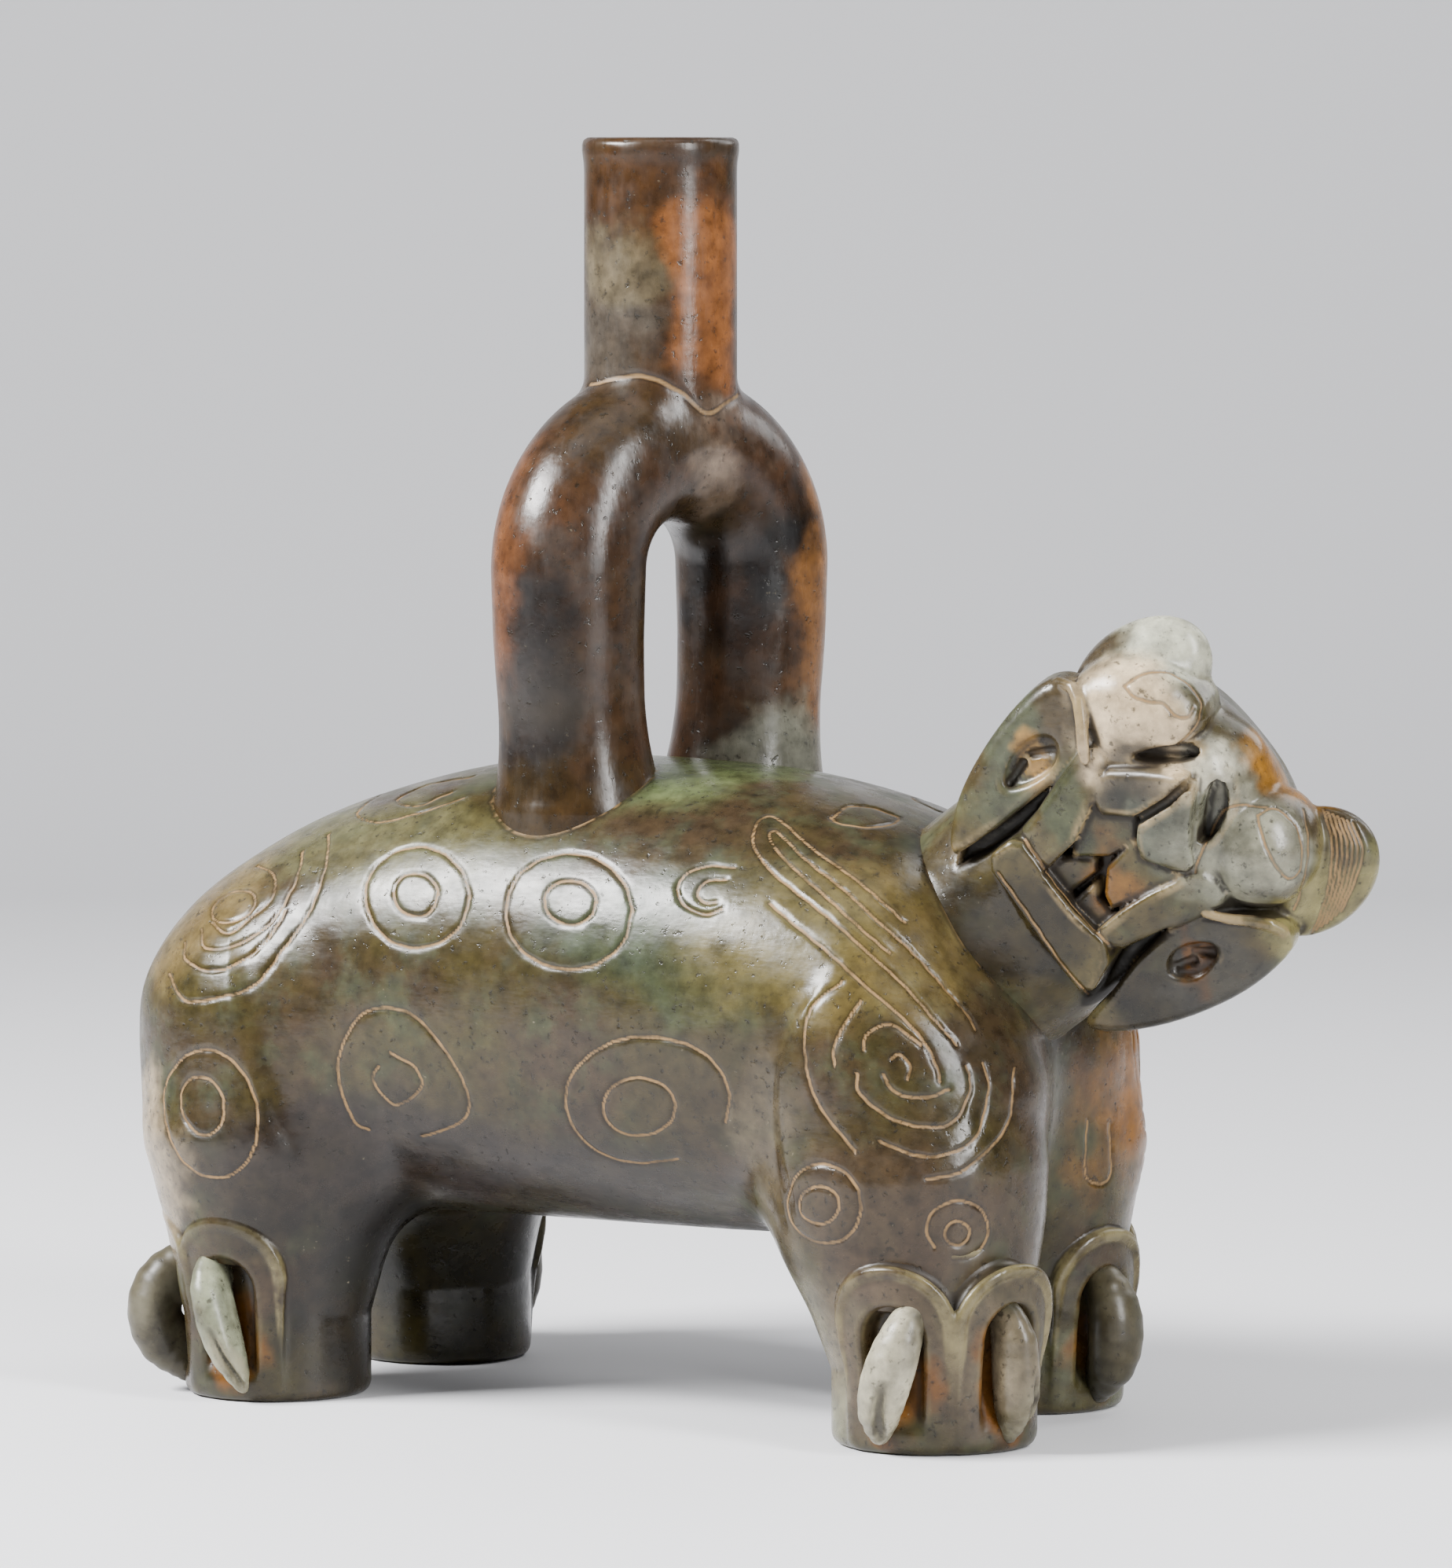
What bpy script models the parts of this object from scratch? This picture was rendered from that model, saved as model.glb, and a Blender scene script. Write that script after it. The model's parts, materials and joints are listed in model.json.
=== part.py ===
"""Stirrup spout vessel in the form of a standing feline: one hollow piece of fired, burnished clay.

Metres, +Z up. The feline stands along +X and its right flank is at -Y. It is modelled about the
middle of its four feet, and is then moved so that the origin is on the floor below the middle of
the whole vessel. The chamber, the head, the stirrup tube and the spout are one open hollow.
"""
import math

import bmesh
import bpy
from mathutils import Matrix, Vector

# Barrel of the body, chest to rump
BODY_LENGTH = 0.197
BODY_FRONT = 0.088
BODY_HALF_WIDTH = 0.0475
BACK_HEIGHT = 0.1225
BELLY_HEIGHT = 0.034
SQUARENESS = 2.12

# Legs and feet
REAR_LEG_X = -0.070
FRONT_LEG_X = 0.071
LEFT_FRONT_SET_BACK = 0.0100
LEFT_FRONT_STEP_OUT = 0.0025
REAR_LEG_Y = 0.0295
FRONT_LEG_Y = 0.0255
REAR_FOOT_RADIUS = 0.0178
FRONT_FOOT_RADIUS = 0.0192
HAUNCH_RADIUS = 0.0250
SHOULDER_RADIUS = 0.0262
HAUNCH_HEIGHT = 0.072
SHOULDER_HEIGHT = 0.078
LEG_LEAN = 0.004

# Hooked claws and the scalloped cuffs above them
CLAW_RADIUS = 0.0033
CLAW_REACH = 0.0060
CLAW_TOP = 0.029
CUFF_RADIUS = 0.0032
CUFF_SINK = 0.0012
CUFF_HALF_WIDTH = 0.0100
CUFF_TOP = 0.0345
CUFF_FOOT = 0.022
CLAW_ANGLES = {
    "rear_right": (-90.0, -150.0),
    "front_right": (-84.0, -18.0),
    "rear_left": (76.0, 135.0),
    "front_left": (-14.0, 72.0),
}

# Each leg: where it stands, foot radius, upper radius and the height of the upper swelling
LEGS = {
    "rear_right": (REAR_LEG_X, -REAR_LEG_Y, REAR_FOOT_RADIUS, HAUNCH_RADIUS, HAUNCH_HEIGHT),
    "rear_left": (REAR_LEG_X, REAR_LEG_Y, REAR_FOOT_RADIUS, HAUNCH_RADIUS, HAUNCH_HEIGHT),
    "front_right": (FRONT_LEG_X, -FRONT_LEG_Y, FRONT_FOOT_RADIUS, SHOULDER_RADIUS, SHOULDER_HEIGHT),
    "front_left": (
        FRONT_LEG_X - LEFT_FRONT_SET_BACK, FRONT_LEG_Y + LEFT_FRONT_STEP_OUT,
        FRONT_FOOT_RADIUS, SHOULDER_RADIUS, SHOULDER_HEIGHT,
    ),
}

# Stirrup and spout
TUBE_RADIUS = 0.0146
TUBE_FLARE = 1.22
TUBE_WAIST = 0.95
ARM_SPREAD = 0.0464
STIRRUP_TURN = math.radians(18.0)
STIRRUP_X = -0.0024
SPRINGING_HEIGHT = 0.1585
SPOUT_RADIUS = 0.0146
SPOUT_RIM = 0.2400
SPOUT_LIP = 0.0008
SPOUT_LIP_HEIGHT = 0.006

# Neck and head
NECK_RADIUS = 0.0232
NECK_PITCH = math.radians(36.0)
HEAD_TURN = math.radians(18.0)
HEAD_X = 0.1115
HEAD_Z = 0.1230
HEAD_HALF_WIDTH = 0.0262
HEAD_HALF_DEPTH = 0.0235
HEAD_TOP = 0.0262
JAW_DROP = 0.0300
NECK_DROP = 0.052

# Walls
BODY_WALL = 0.0060
LEG_WALL = 0.0070
SOLE = 0.0110
TUBE_WALL = 0.0042
HEAD_WALL = 0.0085

# Facet sizes of the modelled skins
SKIN_FACET = 0.0087
HOLLOW_FACET = 0.0125
SKIN_SMOOTHING = 2
HOLLOW_SMOOTHING = 1
TUBE_SIDES = 18
BORE_SIDES = 12
ROLL_SIDES = 6
PAW_SIDES = 16
MERGE = 0.00001

# Barrel stations as shares: place along the body, underside, top, half-width
BARREL = (
    (0.000, 0.36, 0.50, 0.20),
    (0.022, 0.24, 0.58, 0.50),
    (0.060, 0.12, 0.66, 0.74),
    (0.120, 0.04, 0.765, 0.90),
    (0.210, 0.00, 0.875, 0.985),
    (0.310, 0.00, 0.950, 1.000),
    (0.420, 0.00, 1.000, 1.000),
    (0.560, 0.00, 1.000, 0.990),
    (0.680, 0.00, 0.985, 0.990),
    (0.790, 0.01, 0.935, 0.985),
    (0.880, 0.03, 0.840, 0.930),
    (0.945, 0.13, 0.700, 0.760),
    (0.985, 0.27, 0.600, 0.500),
    (1.000, 0.38, 0.520, 0.220),
)

for item in list(bpy.data.objects):
    bpy.data.objects.remove(item, do_unlink=True)

vessel_collection = bpy.data.collections.new("stirrup_spout_vessel")
tool_collection = bpy.data.collections.new("cutters")
bpy.context.scene.collection.children.link(vessel_collection)
bpy.context.scene.collection.children.link(tool_collection)


def add_object(name, mesh, helper=True):
    """Put a mesh in the scene, among the hidden helpers or as the piece itself."""
    item = bpy.data.objects.new(name, mesh)
    if helper:
        tool_collection.objects.link(item)
        item.hide_render = True
        item.display_type = "WIRE"
    else:
        vessel_collection.objects.link(item)
    return item


def mesh_from(shape, name):
    """Turn a bmesh with outward faces into a named mesh."""
    bmesh.ops.recalc_face_normals(shape, faces=shape.faces)
    mesh = bpy.data.meshes.new(name)
    shape.to_mesh(mesh)
    shape.free()
    return mesh


def add_loft(shape, rings):
    """Skin a closed loft through rings that all have the same number of points."""
    made = [[shape.verts.new(point) for point in ring] for ring in rings]
    for lower, upper in zip(made, made[1:]):
        for i in range(len(lower)):
            j = (i + 1) % len(lower)
            shape.faces.new((lower[i], lower[j], upper[j], upper[i]))
    shape.faces.new(list(reversed(made[0])))
    shape.faces.new(made[-1])


def rounded_power(value, squareness):
    """Superellipse helper: keeps the sign of a sine or cosine while squaring the form up."""
    return math.copysign(abs(value) ** (2.0 / squareness), value)


def barrel_rings(inset):
    """Rings of the barrel from rump to chest, drawn in by the given inset."""
    rear = BODY_FRONT - BODY_LENGTH
    height = BACK_HEIGHT - BELLY_HEIGHT
    length_share = (BODY_LENGTH - 2.0 * inset) / BODY_LENGTH
    rings = []
    for along, low, high, wide in BARREL:
        x = rear + inset + along * BODY_LENGTH * length_share
        bottom = BELLY_HEIGHT + low * height
        top = BELLY_HEIGHT + high * height
        middle = 0.5 * (bottom + top)
        half_height = max(0.5 * (top - bottom) - inset, 0.002)
        half_width = max(wide * BODY_HALF_WIDTH - inset, 0.002)
        ring = []
        for i in range(24):
            angle = 2.0 * math.pi * i / 24
            y = half_width * rounded_power(math.cos(angle), SQUARENESS)
            z = middle + half_height * rounded_power(math.sin(angle), SQUARENESS)
            ring.append((x, y, z))
        rings.append(ring)
    return rings


def leg_rings(x, y, foot_radius, top_radius, top_height, inset, sole):
    """Rings of one leg, from below the floor line up into the body."""
    lean = math.copysign(LEG_LEAN, -y)
    profile = (
        (-0.003 if sole == 0.0 else sole, foot_radius * (0.99 if sole == 0.0 else 0.8)),
        (0.005 + sole, foot_radius * 1.02),
        (0.018 + 0.5 * sole, foot_radius),
        (0.028, 0.55 * foot_radius + 0.45 * top_radius),
        (0.038, 0.10 * foot_radius + 0.90 * top_radius),
        (top_height, top_radius),
        (top_height + 0.016, top_radius * 0.72),
        (top_height + 0.024, top_radius * 0.30),
    )
    rings = []
    for height, radius in profile:
        shift = lean * height / top_height
        ring = []
        for i in range(20):
            angle = 2.0 * math.pi * i / 20
            reach = max(radius - inset, 0.002)
            ring.append((x + reach * math.cos(angle), y + shift + reach * math.sin(angle), height))
        rings.append(ring)
    return rings


def body_form(name, body_inset, leg_inset, sole, facet, smoothing):
    """Barrel and four legs run together into one smooth skin."""
    shape = bmesh.new()
    add_loft(shape, barrel_rings(body_inset))
    for x, y, foot, top, height in LEGS.values():
        add_loft(shape, leg_rings(x, y, foot, top, height, leg_inset, sole))
    form = add_object(name, mesh_from(shape, name))
    remesh = form.modifiers.new("one_skin", "REMESH")
    remesh.mode = "VOXEL"
    remesh.voxel_size = facet
    soften = form.modifiers.new("soften", "SMOOTH")
    soften.factor = 0.5
    soften.iterations = smoothing
    return form


def arm_points():
    """Centre line of the stirrup from the near arm's root to the far arm's root."""
    half = 0.5 * ARM_SPREAD
    root = BACK_HEIGHT - BODY_WALL - 0.010
    across = Vector((math.sin(STIRRUP_TURN), math.cos(STIRRUP_TURN), 0.0))
    middle = Vector((STIRRUP_X, 0.0, 0.0))
    points = []
    rise = (0.0, 0.22, 0.36, 0.52, 0.76)
    for share in rise:
        points.append((-half, root + share * (SPRINGING_HEIGHT - root)))
    for i in range(13):
        angle = math.pi - math.pi * i / 12
        points.append((half * math.cos(angle), SPRINGING_HEIGHT + half * math.sin(angle)))
    for share in reversed(rise):
        points.append((half, root + share * (SPRINGING_HEIGHT - root)))
    line = []
    for offset, height in points:
        place = middle + across * offset
        line.append(Vector((place.x, place.y, height)))
    return line


def tube_share(height):
    """Radius of the stirrup tube at a height, as a share: flared root, slight waist, plain arch."""
    root = BACK_HEIGHT - 0.008
    waist = 0.5 * (BACK_HEIGHT + SPRINGING_HEIGHT) - 0.006
    if height < waist:
        share = max(0.0, (waist - height) / (waist - root))
        return TUBE_WAIST + (TUBE_FLARE - TUBE_WAIST) * share ** 2.2
    share = min(1.0, (height - waist) / (SPRINGING_HEIGHT - waist))
    return TUBE_WAIST + (1.0 - TUBE_WAIST) * share


def tube_mesh(name, line, radii, sides):
    """A bevelled curve through the line, turned into a closed mesh."""
    curve = bpy.data.curves.new(name, "CURVE")
    curve.dimensions = "3D"
    curve.bevel_depth = 1.0
    curve.bevel_resolution = (sides - 4) // 2
    curve.use_fill_caps = True
    spline = curve.splines.new("POLY")
    spline.points.add(len(line) - 1)
    for point, place, radius in zip(spline.points, line, radii):
        point.co = (place[0], place[1], place[2], 1.0)
        point.radius = radius
    guide = bpy.data.objects.new(name + "_curve", curve)
    tool_collection.objects.link(guide)
    graph = bpy.context.evaluated_depsgraph_get()
    mesh = bpy.data.meshes.new_from_object(guide.evaluated_get(graph))
    bpy.data.objects.remove(guide, do_unlink=True)
    shape = bmesh.new()
    shape.from_mesh(mesh)
    bmesh.ops.remove_doubles(shape, verts=shape.verts, dist=MERGE)
    bpy.data.meshes.remove(mesh)
    return mesh_from(shape, name)


def stirrup_form(name, radius, root_share, sides):
    """The stirrup tube, or its bore, as one solid."""
    line = arm_points()
    radii = []
    for place in line:
        share = tube_share(place.z)
        radii.append(radius * (1.0 + (share - 1.0) * root_share))
    return add_object(name, tube_mesh(name, line, radii, sides))


def turned_form(name, profile, steps):
    """A turned solid about the spout's axis, from a profile of radius and height, top to bottom."""
    shape = bmesh.new()
    verts = [shape.verts.new((radius, 0.0, height)) for radius, height in profile]
    for first, second in zip(verts, verts[1:]):
        shape.edges.new((first, second))
    mesh = bpy.data.meshes.new(name)
    shape.to_mesh(mesh)
    shape.free()
    form = add_object(name, mesh)
    form.location = (STIRRUP_X, 0.0, 0.0)
    screw = form.modifiers.new("turn", "SCREW")
    screw.axis = "Z"
    screw.steps = steps
    screw.render_steps = steps
    screw.use_merge_vertices = True
    screw.merge_threshold = MERGE
    return form


def spout_form():
    """Straight spout with a small rounded lip, standing on the arch."""
    foot = SPRINGING_HEIGHT + 0.5 * ARM_SPREAD
    profile = (
        (0.0, SPOUT_RIM),
        (SPOUT_RADIUS - 0.0008, SPOUT_RIM),
        (SPOUT_RADIUS + SPOUT_LIP, SPOUT_RIM - 0.0010),
        (SPOUT_RADIUS + SPOUT_LIP, SPOUT_RIM - 0.0028),
        (SPOUT_RADIUS, SPOUT_RIM - SPOUT_LIP_HEIGHT),
        (SPOUT_RADIUS, foot),
        (0.0, foot),
    )
    return turned_form("spout", profile, TUBE_SIDES + 2)


def spout_bore():
    """The open bore that runs down the spout into the arch."""
    foot = SPRINGING_HEIGHT + 0.5 * ARM_SPREAD
    bore = SPOUT_RADIUS - TUBE_WALL
    profile = (
        (0.0, SPOUT_RIM + 0.010),
        (bore, SPOUT_RIM + 0.010),
        (bore, foot),
        (0.0, foot),
    )
    return turned_form("spout_bore", profile, BORE_SIDES + 4)


# Head frame: right of the face, out of the face, up along the neck
head_up = Vector((math.cos(NECK_PITCH), 0.0, math.sin(NECK_PITCH)))
head_flat = Vector((0.0, -1.0, 0.0))
head_side = head_up.cross(head_flat)
head_out = head_flat * math.cos(HEAD_TURN) + head_side * math.sin(HEAD_TURN)
head_right = head_up.cross(head_out)
head_frame = Matrix((
    (head_right.x, head_out.x, head_up.x, HEAD_X),
    (head_right.y, head_out.y, head_up.y, 0.0),
    (head_right.z, head_out.z, head_up.z, HEAD_Z),
    (0.0, 0.0, 0.0, 1.0),
))


def head_form(name, inset, facets):
    """Neck and skull: a round neck that widens into a deep, flat-faced head."""
    top = HEAD_TOP - inset
    profile = (
        (-NECK_DROP, NECK_RADIUS * 1.10, NECK_RADIUS * 1.10, 0.0, 2.0),
        (-NECK_DROP + 0.012, NECK_RADIUS * 1.02, NECK_RADIUS * 1.02, 0.0, 2.0),
        (-JAW_DROP - 0.002, NECK_RADIUS, NECK_RADIUS * 0.97, 0.0, 2.1),
        (-JAW_DROP + 0.006, HEAD_HALF_WIDTH * 0.96, HEAD_HALF_DEPTH, 0.0, 2.4),
        (-0.010, HEAD_HALF_WIDTH, HEAD_HALF_DEPTH, 0.0, 2.5),
        (0.004, HEAD_HALF_WIDTH, HEAD_HALF_DEPTH * 0.93, 0.0012, 2.5),
        (0.60 * top, HEAD_HALF_WIDTH * 0.90, HEAD_HALF_DEPTH * 0.74, 0.0030, 2.4),
        (0.85 * top, HEAD_HALF_WIDTH * 0.66, HEAD_HALF_DEPTH * 0.48, 0.0044, 2.2),
        (top, HEAD_HALF_WIDTH * 0.34, HEAD_HALF_DEPTH * 0.18, 0.0050, 2.0),
    )
    shape = bmesh.new()
    rings = []
    for level, wide, deep, forward, squareness in profile:
        ring = []
        for i in range(facets):
            angle = 2.0 * math.pi * i / facets
            right = max(wide - inset, 0.001) * rounded_power(math.cos(angle), squareness)
            out = forward + max(deep - inset, 0.001) * rounded_power(math.sin(angle), squareness)
            ring.append(head_frame @ Vector((right, out, level)))
        rings.append(ring)
    add_loft(shape, rings)
    return add_object(name, mesh_from(shape, name))


def head_ball(name, centre, radii, tilt=0.0, segments=14):
    """An ellipsoid in the head frame: centre and half-sizes as right, out, up; tilt about out."""
    shape = bmesh.new()
    bmesh.ops.create_uvsphere(shape, u_segments=segments, v_segments=segments // 2, radius=1.0)
    size = Matrix.Diagonal((radii[0], radii[1], radii[2], 1.0))
    turn = Matrix.Rotation(math.radians(tilt), 4, "Y")
    place = head_frame @ Matrix.Translation(centre) @ turn @ size
    bmesh.ops.transform(shape, matrix=place, verts=shape.verts)
    return add_object(name, mesh_from(shape, name))


def head_slab(name, outline, back, front, taper=1.0):
    """A flat-faced form in the head frame: an outline as right, up, and its depth along out."""
    middle_right = sum(point[0] for point in outline) / len(outline)
    middle_up = sum(point[1] for point in outline) / len(outline)
    rings = []
    for depth, share in ((back, 1.0), (front, taper)):
        ring = []
        for right, up in outline:
            place = (
                middle_right + (right - middle_right) * share,
                depth,
                middle_up + (up - middle_up) * share,
            )
            ring.append(head_frame @ Vector(place))
        rings.append(ring)
    shape = bmesh.new()
    add_loft(shape, rings)
    return add_object(name, mesh_from(shape, name))


def head_roll(name, line, radii):
    """A round roll in the head frame through points given as right, out, up."""
    places = [head_frame @ Vector(point) for point in line]
    return add_object(name, roll_mesh(name, places, radii))


def roll_mesh(name, line, radii):
    """A small round roll of clay through points, with a radius at each."""
    shape = bmesh.new()
    rings = []
    for i, (place, radius) in enumerate(zip(line, radii)):
        before = line[max(i - 1, 0)]
        after = line[min(i + 1, len(line) - 1)]
        along = (Vector(after) - Vector(before)).normalized()
        side = along.orthogonal().normalized()
        if i:
            side = (last_side - along * last_side.dot(along)).normalized()
        last_side = side
        up = along.cross(side)
        ring = []
        for k in range(ROLL_SIDES):
            angle = 2.0 * math.pi * k / ROLL_SIDES
            ring.append(Vector(place) + (side * math.cos(angle) + up * math.sin(angle)) * radius)
        rings.append(ring)
    add_loft(shape, rings)
    return mesh_from(shape, name)


def head_features():
    """Ears, eyes, muzzle, lips, jaw band, cheek plates and teeth as solids to run together."""
    face = HEAD_HALF_DEPTH
    parts = []
    for side, ear_right, ear_up, wide, high in (
        (-1.0, -0.0215, 0.0140, 0.0100, 0.0138),
        (1.0, 0.0245, 0.0135, 0.0105, 0.0134),
    ):
        tag = "left" if side < 0.0 else "right"
        parts.append(head_ball("ear_" + tag, (ear_right, 0.010, ear_up), (wide, 0.0085, high), side * 12.0))
    for tag, eye_right, eye_up in (("left", -0.0165, 0.0122), ("right", 0.0158, 0.0129)):
        parts.append(head_ball("eye_" + tag, (eye_right, face - 0.0045, eye_up), (0.0112, 0.0095, 0.0112)))
    parts.append(head_slab(
        "nose", ((-0.0030, 0.0210), (-0.0135, 0.0010), (0.0, -0.0030), (0.0130, 0.0010), (0.0030, 0.0210)),
        face - 0.006, face + 0.0065, 0.72,
    ))
    parts.append(head_slab(
        "upper_lip", ((-0.0130, 0.0020), (-0.0080, -0.0075), (0.0060, -0.0072), (0.0127, 0.0020)),
        face - 0.006, face + 0.0040, 0.88,
    ))
    for side in (-1.0, 1.0):
        tag = "left" if side < 0.0 else "right"
        line = (
            (side * 0.0165, face - 0.001, 0.0010),
            (side * 0.0160, face + 0.0005, -0.0080),
            (side * 0.0140, face + 0.0005, -0.0150),
            (side * 0.0115, face - 0.001, -0.0210),
        )
        parts.append(head_roll("lip_" + tag, line, (0.0028, 0.0040, 0.0040, 0.0030)))
    parts.append(head_slab(
        "jaw", ((-0.0150, -0.0300), (-0.0125, -0.0205), (0.0125, -0.0205), (0.0170, -0.0300)),
        face - 0.010, face + 0.0020, 0.95,
    ))
    for side, middle in ((-1.0, -0.0255), (1.0, 0.0285)):
        tag = "left" if side < 0.0 else "right"
        plate = (
            (middle + side * 0.0040, 0.0070),
            (middle + side * 0.0075, -0.0040),
            (middle + side * 0.0062, -0.0150),
            (middle + side * 0.0005, -0.0270),
            (middle - side * 0.0050, -0.0325),
            (middle - side * 0.0062, -0.0200),
            (middle - side * 0.0062, -0.0080),
            (middle - side * 0.0040, 0.0020),
        )
        parts.append(head_slab("cheek_" + tag, plate, face - 0.0120, face - 0.0010, 0.86))
    return parts


def head_teeth():
    """Four crossed fangs standing in the open mouth."""
    floor = HEAD_HALF_DEPTH - 0.0060
    lift = HEAD_HALF_DEPTH + 0.0005
    parts = []
    for tag, outline in (
        ("fang_left", ((-0.0072, -0.0060), (-0.0045, -0.0160), (0.0008, -0.0110), (-0.0005, -0.0060))),
        ("fang_right", ((0.0012, -0.0060), (0.0015, -0.0110), (0.0078, -0.0155), (0.0092, -0.0060))),
        ("tooth_left", ((-0.0070, -0.0215), (-0.0030, -0.0140), (0.0008, -0.0130), (0.0008, -0.0215))),
        ("tooth_right", ((0.0018, -0.0215), (0.0018, -0.0130), (0.0055, -0.0145), (0.0092, -0.0215))),
    ):
        parts.append(head_slab(tag, outline, floor - 0.002, lift, 0.86))
    return parts


def mouth_cutter():
    """The sunk field of the open mouth between the lip rolls."""
    face = HEAD_HALF_DEPTH
    outline = ((-0.0120, -0.0045), (-0.0088, -0.0205), (0.0088, -0.0205), (0.0120, -0.0045))
    return head_slab("mouth", outline, face - 0.0055, face + 0.0012, 1.02)


def leg_radius(leg, level):
    """Radius of a leg at a height above the floor, for what is laid on its surface."""
    foot, top = LEGS[leg][2], LEGS[leg][3]
    rise = min(1.0, max(0.0, (level - 0.018) / 0.020))
    return foot + 0.8 * (top - foot) * rise


def claw(leg, number, turn):
    """A hooked claw: it springs from under its cuff, stands off the paw and comes back at the floor."""
    x, y, foot = LEGS[leg][:3]
    out = Vector((math.cos(turn), math.sin(turn), 0.0))
    line = []
    for high, reach in ((1.0, -0.5), (0.87, 0.32), (0.65, 0.85), (0.40, 1.0), (0.20, 0.7), (0.05, 0.0)):
        place = Vector((x, y, 0.0)) + out * (foot + reach * CLAW_REACH)
        line.append(place + Vector((0.0, 0.0, high * CLAW_TOP)))
    radii = [CLAW_RADIUS * share for share in (0.8, 1.05, 1.15, 1.05, 0.85, 0.5)]
    name = "claw_" + leg + "_" + str(number)
    return add_object(name, roll_mesh(name, line, radii))


def cuff(leg, number, turn):
    """The raised arc of skin over a claw."""
    x, y = LEGS[leg][:2]
    line = []
    for i in range(7):
        bend = math.pi * i / 6
        level = CUFF_FOOT + math.sin(bend) ** 0.7 * (CUFF_TOP - CUFF_FOOT)
        reach = leg_radius(leg, level) - CUFF_SINK
        swing = turn - math.cos(bend) * CUFF_HALF_WIDTH / reach
        line.append(Vector((x + reach * math.cos(swing), y + reach * math.sin(swing), level)))
    name = "cuff_" + leg + "_" + str(number)
    return add_object(name, roll_mesh(name, line, [CUFF_RADIUS] * len(line)))


def paw(leg):
    """The round foot below the cuffs."""
    x, y, foot = LEGS[leg][:3]
    shape = bmesh.new()
    rings = []
    for level, share in ((-0.003, 0.97), (0.003, 1.0), (0.016, 1.0), (CUFF_FOOT + 0.006, 1.02)):
        ring = []
        for i in range(PAW_SIDES):
            angle = 2.0 * math.pi * (i + 0.5) / PAW_SIDES
            ring.append((x + foot * share * math.cos(angle), y + foot * share * math.sin(angle), level))
        rings.append(ring)
    add_loft(shape, rings)
    return add_object("paw_" + leg, mesh_from(shape, "paw_" + leg))


def foot_features():
    """Paws, claws and cuffs of the four feet."""
    parts = [paw(leg) for leg in LEGS]
    for leg, angles in CLAW_ANGLES.items():
        for number, angle in enumerate(angles):
            parts.append(claw(leg, number, math.radians(angle)))
            parts.append(cuff(leg, number, math.radians(angle)))
    return parts


def floor_cutter():
    """Cuts the four feet flat on the floor."""
    shape = bmesh.new()
    bmesh.ops.create_cube(shape, size=1.0)
    place = Matrix.Translation((0.0, 0.0, -0.05)) @ Matrix.Diagonal((0.5, 0.5, 0.1, 1.0))
    bmesh.ops.transform(shape, matrix=place, verts=shape.verts)
    return add_object("floor_cut", mesh_from(shape, "floor_cut"))


def clay(name):
    """Burnished olive-brown fired clay."""
    material = bpy.data.materials.new(name)
    material.use_nodes = True
    shader = material.node_tree.nodes["Principled BSDF"]
    shader.inputs["Base Color"].default_value = (0.105, 0.082, 0.055, 1.0)
    shader.inputs["Roughness"].default_value = 0.38
    shader.inputs["Metallic"].default_value = 0.0
    return material


def combine(target, group, operation, forms):
    """One Boolean step with the exact solver, for a named group of forms."""
    forms_collection = bpy.data.collections.new(group)
    tool_collection.children.link(forms_collection)
    for form in forms:
        tool_collection.objects.unlink(form)
        forms_collection.objects.link(form)
    step = target.modifiers.new(group, "BOOLEAN")
    step.operation = operation
    step.solver = "EXACT"
    step.operand_type = "COLLECTION"
    step.collection = forms_collection


def settle(item):
    """The evaluated mesh of an object, in world space, merged and closed."""
    graph = bpy.context.evaluated_depsgraph_get()
    mesh = bpy.data.meshes.new_from_object(item.evaluated_get(graph))
    mesh.transform(item.matrix_world)
    return mesh


skin = body_form("skin", 0.0, 0.0, 0.0, SKIN_FACET, SKIN_SMOOTHING)
hollow = body_form("hollow_skin", BODY_WALL, LEG_WALL, SOLE, HOLLOW_FACET, HOLLOW_SMOOTHING)
form = add_object("form", settle(skin))
combine(form, "head_and_face", "UNION", [head_form("head", 0.0, 24)] + head_features())
combine(form, "mouth_field", "DIFFERENCE", [mouth_cutter()])
combine(form, "teeth_and_feet", "UNION", head_teeth() + foot_features())
combine(form, "handle", "UNION", [
    stirrup_form("stirrup", TUBE_RADIUS, 1.0, TUBE_SIDES),
    spout_form(),
])
combine(form, "floor_line", "DIFFERENCE", [floor_cutter()])
combine(form, "inside", "DIFFERENCE", [
    add_object("hollow_chamber", settle(hollow)),
    head_form("hollow_head", HEAD_WALL, 12),
    stirrup_form("hollow_stirrup", TUBE_RADIUS - TUBE_WALL, 0.3, BORE_SIDES),
    spout_bore(),
])

# The finished vessel stands with the middle of its base on the origin
mesh = settle(form)
corners = [vert.co for vert in mesh.vertices]
middle_x = 0.5 * (min(co.x for co in corners) + max(co.x for co in corners))
middle_y = 0.5 * (min(co.y for co in corners) + max(co.y for co in corners))
mesh.transform(Matrix.Translation((-middle_x, -middle_y, 0.0)))
mesh.materials.clear()
mesh.materials.append(clay("burnished_clay"))
mesh.shade_smooth()
mesh.set_sharp_from_angle(angle=math.radians(35.0))
add_object("vessel", mesh, helper=False)
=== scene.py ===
import json
import math
import bmesh
import bpy
import numpy as np
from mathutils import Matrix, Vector
from mathutils.kdtree import KDTree


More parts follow.
